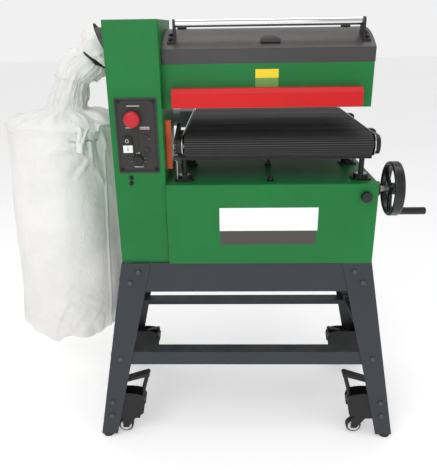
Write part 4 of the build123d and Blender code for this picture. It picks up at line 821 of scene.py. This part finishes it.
def bag_flap():
    """The crumpled spare cloth that stands out under the ring on the right."""
    work = bmesh.new()
    cut = work.loops.layers.uv.new("cut")
    rows, columns = 16, 16
    grid = []
    for i in range(rows + 1):
        v = i / rows
        row = []
        for k in range(columns + 1):
            u = k / columns
            angle = 27.0 + (11.5 - 3.0 * v) * u + 1.2 * math.sin(v * 6.0 + u * 2)
            height = 878 - 74 * v - 8 * u + 3.0 * math.sin(u * 7)
            full = 0.35 + 0.65 * math.sin(math.pi * (0.1 + 0.75 * v))
            lift = 1.5 + 8.0 * math.sin(math.pi * u) ** 0.8 * full
            lift += 3.5 * noise.noise(Vector((u * 4, v * 5, 1.5))) + 2.5 * math.sin(u * 9 + v * 4) * v
            turn = math.radians(angle)
            x = bag_middle(height)
            reach = 169 + lift
            row.append(work.verts.new(spot(x + reach * math.sin(turn), BAG_Y - reach * math.cos(turn),
                                           height)))
        grid.append(row)
    for i in range(rows):
        for k in range(columns):
            face = work.faces.new((grid[i][k], grid[i + 1][k], grid[i + 1][k + 1], grid[i][k + 1]))
            for loop, (a, b) in zip(face.loops, ((k, i), (k, i + 1), (k + 1, i + 1), (k + 1, i))):
                loop[cut].uv = (a * 0.002, b * 0.005)
    work.normal_update()
    mesh = bpy.data.meshes.new("bag_flap")
    work.to_mesh(mesh)
    work.free()
    flap = piece("bag_flap", mesh, FINISH["bag_cloth"], "frame", smooth=180)
    thick = flap.modifiers.new("wall", "SOLIDIFY")
    thick.thickness = 0.0016
    thick.offset = 0.0
    round_off = flap.modifiers.new("round", "SUBSURF")
    round_off.levels = round_off.render_levels = 1


# ---------------------------------------------------------------- bag strap

def block_at(work, middle, basis, size, soften=0.0008):
    scale = Matrix.Diagonal((*[side / 1000 for side in size], 1))
    softened_cube(work, Matrix.Translation(middle) @ basis @ scale, soften)


def bag_strap():
    tilt = math.radians(STRAP_AT[2])
    look = Vector((-math.cos(tilt), 0, -math.sin(tilt)))
    centre = spot(STRAP_AT[0], BAG_Y, STRAP_AT[1])
    profile = [(-4.5, 47.6), (-4.5, 49.8), (-3.8, 50.5), (-2, 50.8), (2, 50.8), (3.8, 50.5), (4.5, 49.8),
               (4.5, 47.6)]
    strap = piece("bag_strap", turned("bag_strap", profile, centre, look, 72, closed=False),
                  FINISH["strap_black"], "frame", smooth=40)
    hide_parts("bag_clamp")
    work = bmesh.new()
    for degrees, lift, size in ((22, 52.4, (17, 13, 3.0)), (22, 54.4, (10, 7, 2.4)),
                                (8, 51.8, (16, 9, 1.8))):
        turn = math.radians(degrees)
        side = Vector((0, -1, 0))
        across = side.cross(look)
        out = side * math.cos(turn) + across * math.sin(turn)
        basis = Matrix((out.cross(look), look, out)).transposed().to_4x4()
        block_at(work, centre + out * (lift / 1000), basis, size)
    piece("strap_buckle", mesh_of("strap_buckle", work), FINISH["black_steel"], "frame")


# ---------------------------------------------------------------- control panel

PANEL_LOW, PANEL_HIGH = corners("control_panel")
PANEL_X0, PANEL_Z0 = PANEL_LOW.x, PANEL_LOW.z
PANEL_X1, PANEL_Z1 = PANEL_HIGH.x, PANEL_HIGH.z
PANEL_FACE = -136.0
PRINT_EDGE = 0.0001


def bolts(name, sites, aims, radius, height, washer, sides=6, body="frame"):
    """Bolt or screw heads at sites in mm; their own sizes are in metres."""
    grow(name, BOLT_HEADS, sites, body, "bolt_black", aims=aims, Radius=radius, Height=height, Sides=sides,
         Washer=washer, Material=FINISH["bolt_black"])


def panel_details():
    x0, x1, z0, z1 = PANEL_X0, PANEL_X1, PANEL_Z0, PANEL_Z1
    near, far = 6, 17
    inner = [(x0 + far, z0 + near), (x1 - far, z0 + near), (x1 - near, z0 + far), (x1 - near, z1 - far),
             (x1 - far, z1 - near), (x0 + far, z1 - near), (x0 + near, z1 - far), (x0 + near, z0 + far)]
    grow("panel_line", STRIP, [(x, PANEL_FACE - 0.2, z) for x, z in inner], "frame", "button_black",
         edges=path_edges(len(inner), True), Width=0.0014, Thickness=0.0014, Material=PRINT_BLACK)
    sites = [(x, PANEL_FACE - 0.8, z) for x in (x0 + 8, x1 - 8) for z in (z0 + 8, z1 - 8)]
    bolts("panel_screws", sites, [(0, -1, 0)] * 4, 0.0038, 0.0034, 0.005, sides=20)
    legends = [(x0 + 30, x0 + 62, z1 - 20), (x0 + 24, x0 + 41, z1 - 73), (x0 + 60, x0 + 84, z1 - 72),
               (x0 + 60, x0 + 84, z1 - 76), (x0 + 70, x0 + 82, z1 - 101), (x0 + 40, x0 + 63, z0 + 15)]
    proud, sunk = PANEL_FACE - 0.35, PANEL_FACE + 0.1
    boxes = [((a, proud, z), (b, sunk, z + 2.2)) for a, b, z in legends]
    boxes += [((x0 + 47 + k * 2.4, proud, z0 + 50), (x0 + 48.6 + k * 2.4, sunk,
                                                     z0 + 51 + k)) for k in range(4)]
    plate_piece("panel_legends", boxes, PRINT_PALE, "frame", PRINT_EDGE)
    slot_line = [((x0 + 54, PANEL_FACE - 0.3, z1 - 125), (x0 + 56, sunk, z1 - 82))]
    plate_piece("panel_divider", slot_line, PRINT_BLACK, "frame", PRINT_EDGE)


def stop_button_details():
    low, high = corners("stop_button")
    centre = spot((low.x + high.x) / 2, PANEL_FACE, (low.z + high.z) / 2)
    collar = [(0, 18.5), (2.4, 18.5), (3.4, 17.5), (3.4, 13.5), (0, 13.5)]
    piece("stop_collar", turned("stop_collar", collar, centre, Vector((0, -1, 0)), 48, closed=False),
          FINISH["button_black"], "frame", smooth=35)


def key_marks():
    """A ring on the off key and a stroke on the on key, each riding on its key."""
    low, high = corners("off_button")
    middle = ((low.x + high.x) / 2, low.y, (low.z + high.z) / 2)
    ring = [(0, 4.6), (0.5, 4.6), (0.5, 3.2), (0, 3.2)]
    piece("off_mark", turned("off_mark", ring, spot(*middle), Vector((0, -1, 0)), 32, closed=False),
          PRINT_PALE, "off_button", smooth=30)
    low, high = corners("on_button")
    x, z = (low.x + high.x) / 2, (low.z + high.z) / 2
    stroke = [((x - 0.9, low.y - 0.4, z - 4.6), (x + 0.9, low.y + 0.1, z + 4.6))]
    plate_piece("on_mark", stroke, PRINT_BLACK, "on_button", PRINT_EDGE)


def knob_scale():
    """Ten ticks round the speed knob, and the grip ribs of the knob itself."""
    low, high = corners("speed_knob")
    x, z = (low.x + high.x) / 2, (low.z + high.z) / 2
    tick_radius, rib_radius, ribs = 17.5, 13.0, 24
    points, aims = [], []
    for k in range(10):
        angle = math.radians(225 - 30 * k)
        points.append((x + tick_radius * math.cos(angle), PANEL_FACE - 0.2,
                       z + tick_radius * math.sin(angle)))
        aims.append((math.cos(angle), 0.0, math.sin(angle)))
    grow("knob_scale", BARS, points, "frame", "button_white", aims=aims, Size=(0.0006, 0.0006, 0.0028),
         Material=PRINT_PALE)
    grips = []
    for k in range(ribs):
        angle = math.tau * k / ribs
        grips.append((x + rib_radius * math.cos(angle), (low.y + PANEL_FACE) / 2 - 2.0,
                      z + rib_radius * math.sin(angle)))
    grow("knob_grips", BARS, grips, "speed_knob", "button_black", aims=[(0.0, 1.0, 0.0)] * ribs,
         Size=(0.0012, 0.0012, 0.009), Material=FINISH["button_black"])


# ---------------------------------------------------------------- plates, label and depth scale

def name_plate():
    """A blank plate in two bands on the cabinet's front."""
    face = corners("base_cabinet")[0].y
    front, back = face - 0.9, face + 0.1
    plate_piece("name_plate", [((-70, front, 629.5), (188, back, 693.5))], PLATE_WHITE, "frame")
    plate_piece("name_plate_band", [((-68, front, 590.5), (184, back, 629.3))], PLATE_GREY, "frame")


def head_label():
    """A plain two-colour sticker above the guard."""
    face = corners("head_casing")[0].y
    left, right, front, back = 22, 79, face - 0.5, face + 0.1
    plate_piece("head_label_top", [((left, front, 1015), (right, back, 1036))], LABEL_YELLOW, "frame",
                PRINT_EDGE)
    plate_piece("head_label_low", [((left, front, 991), (right, back, 1014.8))], LABEL_GREEN, "frame",
                PRINT_EDGE)


def depth_scale():
    """An orange strip on the column's edge, with fine and coarse marks."""
    face, foot, top = -80.0, 788, 910
    plate_piece("depth_scale", [((-207.9, face, 784), (-194, face + 1.2, 912))], SCALE_ORANGE, "frame")
    for name, count, pitch, long in (("scale_fine", 25, 5.0, 3.0), ("scale_coarse", 13, 10.0, 5.5)):
        heights = [foot + pitch * k for k in range(count) if foot + pitch * k < top]
        points = [(-206.5 + long / 2, face - 0.1, z) for z in heights]
        grow(name, BARS, points, "frame", "button_black", aims=[(1, 0, 0)] * len(points),
             Size=(0.0005, 0.0004, long / 1000), Material=PRINT_BLACK)


# ---------------------------------------------------------------- screws of the sheet metal

def sheet_screws():
    column = corners("drive_column")[0].y
    cabinet_top = corners("base_cabinet")[1].z
    bolts("cabinet_top_bolts", [(69, 66, cabinet_top + 2.5), (64, -107, cabinet_top + 2.5)],
          [(0, 0, 1)] * 2, 0.0075, 0.009, 0.0095)
    studs = [((65.5, 62.5, cabinet_top + 4), (72.5, 69.5, cabinet_top + 18)),
             ((60.5, -110.5, cabinet_top + 4), (67.5, -103.5, cabinet_top + 18))]
    plate_piece("cabinet_top_studs", studs, FINISH["bolt_black"], "frame", 0.002)
    bolts("column_screws", [(-295.6, column - 1.2, 774), (-296.6, column - 1.2, 760)], [(0, -1, 0)] * 2,
          0.005, 0.005, 0.0058)
    low, high = corners("column_back_cover")
    heights = (low.z + 20, (low.z + high.z) / 2, high.z - 20)
    sites = [(x, high.y + 1.0, z) for x in (low.x + 12, high.x - 12) for z in heights]
    bolts("back_cover_screws", sites, [(0, 1, 0)] * len(sites), 0.0045, 0.003, 0.006, sides=20)
    low, high = corners("head_casing")
    middle = (low.y + high.y) / 2
    sites = [(high.x + 0.8, y, z) for y in (low.y + 22, middle - 40, middle + 40)
             for z in (low.z + 18, low.z + 80) if y < 190]
    bolts("head_end_screws", sites, [(1, 0, 0)] * len(sites), 0.0055, 0.0035, 0.0075)


# Depth of the hood's crown and radius of its arc.
HOOD_MIDDLE = 51.0
HOOD_ARC = 267.6


def hood_skin(y):
    """Height of the hood's outside at a depth, from its own arc."""
    crown = corners("dust_hood")[1].z
    return crown - HOOD_ARC + math.sqrt(max(0.0, HOOD_ARC * HOOD_ARC - (y - HOOD_MIDDLE) ** 2))


def hood_details():
    low, high = corners("dust_hood")
    work = bmesh.new()
    bumper_y = 40.0
    for x in (-166, 262):
        centre = spot(x, bumper_y, hood_skin(bumper_y) + 2.2)
        place = Matrix.Translation(centre) @ Matrix.Diagonal((0.013, 0.010, 0.0045, 1))
        bmesh.ops.create_icosphere(work, subdivisions=3, radius=1.0, matrix=place)
    piece("hood_bumpers", mesh_of("hood_bumpers", work), FINISH["rubber_black"], "hood",
          smooth=180)
    sites, aims = [], []
    proud = 6.2
    foot_low, foot_high = corners("handle_brackets")
    for x in (foot_low.x + 8, foot_high.x - 8):
        for y in (-68.0, -48.0):
            lean = (y - HOOD_MIDDLE) / HOOD_ARC
            out = Vector((0, lean, math.sqrt(1 - lean * lean)))
            sites.append((x, y + out.y * proud, hood_skin(y) + out.z * proud))
            aims.append(out)
    bolts("bracket_screws", sites, aims, 0.0045, 0.004, 0.006, body="hood")
    inset, crease_z = 1.2, 1084
    line = [(low.x + inset, low.y - 0.15, crease_z), (high.x - inset, low.y - 0.15, crease_z)]
    grow("hood_crease", STRIP, line, "hood", "hood_grey", edges=[(0, 1)], Width=0.001, Thickness=0.001,
         Material=FINISH["hood_grey"])


# ---------------------------------------------------------------- feed belt and table

BELT_LOW, BELT_HIGH = corners("conveyor_belt")
ROLLER_Z = (BELT_LOW.z + BELT_HIGH.z) / 2
LOOP_R = (BELT_HIGH.z - BELT_LOW.z) / 2
LOOP_Y0, LOOP_Y1 = BELT_LOW.y + LOOP_R, BELT_HIGH.y - LOOP_R


def loop_point(distance, radius):
    """A place on the belt's loop, at a distance along it from the front roller's top, going back."""
    straight = LOOP_Y1 - LOOP_Y0
    arc = math.pi * LOOP_R
    distance %= 2 * straight + 2 * arc
    if distance < straight:
        return LOOP_Y0 + distance, ROLLER_Z + radius
    distance -= straight
    if distance < arc:
        angle = math.pi / 2 - distance / LOOP_R
        return LOOP_Y1 + radius * math.cos(angle), ROLLER_Z + radius * math.sin(angle)
    distance -= arc
    if distance < straight:
        return LOOP_Y1 - distance, ROLLER_Z - radius
    angle = -math.pi / 2 - (distance - straight) / LOOP_R
    return LOOP_Y0 + radius * math.cos(angle), ROLLER_Z + radius * math.sin(angle)


def feed_belt():
    total = 2 * (LOOP_Y1 - LOOP_Y0) + math.tau * LOOP_R
    ribs = 200
    work = bmesh.new()
    cut = work.loops.layers.uv.new("cut")
    outer, travel = [], []
    for k in range(ribs):
        for share, radius in ((0.0, LOOP_R - 0.7), (0.22, LOOP_R), (0.68, LOOP_R), (0.9, LOOP_R - 0.7)):
            s = total * (k + share) / ribs
            outer.append(loop_point(s, radius))
            travel.append(s)
    inner = []
    for k in range(120):
        inner.append(loop_point(total * k / 120, LOOP_R - 2.9))
    x0, x1 = BELT_LOW.x, BELT_HIGH.x
    left = [work.verts.new(spot(x0, y, z)) for y, z in outer]
    right = [work.verts.new(spot(x1, y, z)) for y, z in outer]
    left_in = [work.verts.new(spot(x0, y, z)) for y, z in inner]
    right_in = [work.verts.new(spot(x1, y, z)) for y, z in inner]
    count = len(outer)
    for i in range(count):
        j = (i + 1) % count
        face = work.faces.new((left[i], right[i], right[j], left[j]))
        ends = (travel[i], travel[i], travel[i + 1] if j else total, travel[i + 1] if j else total)
        for loop, u, v in zip(face.loops, (0, (x1 - x0), (x1 - x0), 0), ends):
            loop[cut].uv = (u / 1000, v / 1000)
    count_in = len(inner)
    for i in range(count_in):
        j = (i + 1) % count_in
        work.faces.new((left_in[i], left_in[j], right_in[j], right_in[i]))
    for side_out, side_in in ((left, left_in), (right, right_in)):
        ratio = count / count_in
        for i in range(count_in):
            a, b = int(i * ratio), int((i + 1) * ratio)
            for m in range(a, b):
                work.faces.new((side_out[m % count], side_out[(m + 1) % count], side_in[i]))
            work.faces.new((side_out[b % count], side_in[(i + 1) % count_in], side_in[i]))
    belt = piece("ribbed_belt", mesh_of("ribbed_belt", work), FINISH["feed_belt"], "table",
                 smooth=30)
    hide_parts("conveyor_belt")


def table_trim():
    """Bright edge of the side plates round the front and top of the table."""
    reach = LOOP_R - 1.0 + 0.6
    for name, x in (("left_edge_trim", -162.6), ("right_edge_trim", 323.6)):
        turns = [math.radians(-90 - 180 * k / 24) for k in range(25)]
        points = [(x, LOOP_Y0 + reach * math.cos(turn), ROLLER_Z + reach * math.sin(turn)) for turn in turns]
        points += [(x, LOOP_Y0 + (LOOP_Y1 - LOOP_Y0) * k / 4, ROLLER_Z + reach) for k in range(1, 5)]
        grow(name, STRIP, points, "table", "bright_steel", edges=path_edges(len(points)), Width=0.0024,
             Thickness=0.0012, Material=EDGE_STEEL)


# The chain beside the table: its plane, how far back and up the second wheel is, and its wheels' sizes.
CHAIN_X = -180.0
CHAIN_RUN, CHAIN_RISE = 96.0, 22.0
WHEEL_R, CHAIN_R, TEETH = 17.0, 19.0, 14


def sprocket(name, y, z, radius, teeth, body):
    """Toothed chain wheel beside the table's left plate, with its hub."""
    work = bmesh.new()
    rings = []
    tooth_height, steps = 3.0, teeth * 4
    for x in (CHAIN_X - 2.0, CHAIN_X + 2.0):
        ring = []
        for k in range(steps):
            reach = radius + (tooth_height if k % 4 in (1, 2) else 0.0)
            angle = math.tau * k / steps
            ring.append(work.verts.new(spot(x, y + reach * math.cos(angle), z + reach * math.sin(angle))))
        rings.append(ring)
    work.faces.new(rings[0])
    work.faces.new(list(reversed(rings[1])))
    for k in range(steps):
        m = (k + 1) % steps
        work.faces.new((rings[0][k], rings[0][m], rings[1][m], rings[1][k]))
    piece(name, mesh_of(name, work), FINISH["black_steel"], body)
    hub = [(0, 0.1), (0, 11), (9, 11), (11, 9.5), (11, 0.1)]
    piece(name + "_hub", turned(name + "_hub", hub, spot(CHAIN_X - 6.0, y, z), Vector((1, 0, 0)), 32),
          FINISH["bright_steel"], body, smooth=40)


def table_side():
    """Chain wheels, chain and guide plate between the column and the table's left plate."""
    front, back = LOOP_Y0, LOOP_Y0 + CHAIN_RUN
    sprocket("table_chain_wheel_front", front, ROLLER_Z, WHEEL_R, TEETH, "table")
    sprocket("table_chain_wheel_back", back, ROLLER_Z + CHAIN_RISE, WHEEL_R, TEETH, "table")
    links, aims = [], []
    lean = math.atan2(CHAIN_RISE, back - front)
    straight, around = 13, 8
    for side in (1, -1):
        for k in range(straight):
            share = (k + 0.5) / straight
            off = side * CHAIN_R
            links.append((CHAIN_X, front + (back - front) * share - off * math.sin(lean),
                          ROLLER_Z + CHAIN_RISE * share + off * math.cos(lean)))
            aims.append((0, math.cos(lean), math.sin(lean)))
    for centre_y, centre_z, turn0 in ((front, ROLLER_Z, 90.0), (back, ROLLER_Z + CHAIN_RISE, -90.0)):
        for k in range(around):
            angle = math.radians(turn0 + 180.0 * (k + 0.5) / around) + lean
            links.append((CHAIN_X, centre_y + CHAIN_R * math.cos(angle),
                          centre_z + CHAIN_R * math.sin(angle)))
            aims.append((0, -math.sin(angle), math.cos(angle)))
    grow("table_side_chain", BARS, links, "table", "pulley_iron", aims=aims, Size=(0.007, 0.0055, 0.0062),
         Material=FINISH["pulley_iron"])
    plate_piece("table_guide_plate", [((-189, -98, 811.2), (-170.2, -72, 818.8))], FINISH["pulley_iron"],
                "table")
    rod = [(0, 0.1), (0, 2.0), (66, 2.0), (66, 0.1)]
    piece("table_guide_rod", turned("table_guide_rod", rod, spot(-180, -101, 745), Vector((0, 0, 1)), 20),
          FINISH["bright_steel"], "table", smooth=40)


# ---------------------------------------------------------------- casters and wheel

def caster_details():
    for corner in ("front_left", "front_right", "rear_left", "rear_right"):
        low, high = corners("caster_wheel_" + corner)
        x, z = (low.x + high.x) / 2, (low.z + high.z) / 2
        for side, y in ((-1, low.y), (1, high.y)):
            cap = [(-2.0, 17.0), (0.2, 17.0), (1.0, 16.4), (1.0, 13.6), (0.2, 13.0), (0.2, 7.0), (0.8, 6.5),
                   (0.8, 0)]
            centre = spot(x, y, z)
            piece(f"hub_cap_{corner}_{'front' if side < 0 else 'back'}",
                  turned("hub_cap", cap, centre, Vector((0, side, 0)), 32, closed=False), EDGE_STEEL,
                  "wheel_" + corner, smooth=35)


# ---------------------------------------------------------------- light, floor and camera

WHITE = (1.0, 1.0, 1.0, 1.0)
WORLD_LIGHT, BACKDROP_EXTRA = 0.56, 0.32
FLOOR_GLOW = 0.31
CAMERA_AT = (-37.8, -1450.7, 1131.9)
CAMERA_TURN = (1.555, 21.43, -0.888)
# Focal length and picture width in one unit, and the sensor in mm.
FOCAL, PICTURE = 528.37, 470.0
SENSOR = 36.0


def studio():
    bpy.context.scene.view_settings.view_transform = "Standard"
    world = bpy.data.worlds.new("studio_light")
    bpy.context.scene.world = world
    world.use_nodes = True
    tree = world.node_tree
    backing = tree.nodes["Background"]
    seen = add(tree, "ShaderNodeLightPath").outputs["Is Camera Ray"]
    backing.inputs["Color"].default_value = WHITE
    tree.links.new(maths(tree, "MULTIPLY_ADD", seen, BACKDROP_EXTRA, WORLD_LIGHT),
                   backing.inputs["Strength"])
    for name, place, aim, size, power in (
            ("key_softbox", (-1300, -1900, 2500), (0, 0, 700), 1.4, 16.0),
            ("fill_softbox", (1900, -1500, 1300), (0, 0, 600), 1.8, 7.0),
            ("low_softbox", (-300, -2300, 1500), (0, 0, 750), 1.6, 9.0),
            ("top_softbox", (100, 300, 2700), (0, 0, 700), 1.8, 16.0)):
        data = bpy.data.lights.new(name, "AREA")
        data.shape = "SQUARE"
        data.size = size
        data.energy = power
        lamp = bpy.data.objects.new(name, data)
        bpy.context.scene.collection.objects.link(lamp)
        lamp.location = spot(*place)
        lamp.rotation_euler = (spot(*aim) - lamp.location).to_track_quat("-Z", "Y").to_euler()


def floor():
    work = bmesh.new()
    bmesh.ops.create_grid(work, x_segments=2, y_segments=2, size=20.0)
    mesh = bpy.data.meshes.new("pale_floor")
    work.to_mesh(mesh)
    work.free()
    obj = bpy.data.objects.new("pale_floor", mesh)
    bpy.context.scene.collection.objects.link(obj)
    made, tree, surface, coord = begin("pale_floor")
    slow = noise_value(tree, coord, 1.2, 2.0)
    tree.links.new(blend_colour(tree, slow, rgb(250, 250, 250), rgb(244, 244, 244)),
                   surface.inputs["Base Color"])
    surface.inputs["Roughness"].default_value = 0.75
    surface.inputs["Emission Color"].default_value = WHITE
    surface.inputs["Emission Strength"].default_value = FLOOR_GLOW
    mesh.materials.append(made)


def camera():
    yaw, pitch, roll = (math.radians(degrees) for degrees in CAMERA_TURN)
    ahead = Vector((-math.sin(yaw) * math.cos(pitch), math.cos(yaw) * math.cos(pitch), -math.sin(pitch)))
    right = Vector((math.cos(yaw), math.sin(yaw), 0.0))
    above = right.cross(ahead)
    across = right * math.cos(roll) + above * math.sin(roll)
    upward = above * math.cos(roll) - right * math.sin(roll)
    data = bpy.data.cameras.new("front_view")
    data.sensor_width = SENSOR
    data.lens = FOCAL * SENSOR / PICTURE
    obj = bpy.data.objects.new("front_view", data)
    bpy.context.scene.collection.objects.link(obj)
    turn = Matrix((across, upward, -ahead)).transposed()
    obj.matrix_world = Matrix.Translation(spot(*CAMERA_AT)) @ turn.to_4x4()
    bpy.context.scene.camera = obj


camera()
studio()
floor()
dust_bag()
bag_flap()
bag_strap()
panel_details()
stop_button_details()
key_marks()
knob_scale()
name_plate()
head_label()
depth_scale()
sheet_screws()
hood_details()
feed_belt()
table_trim()
table_side()
caster_details()
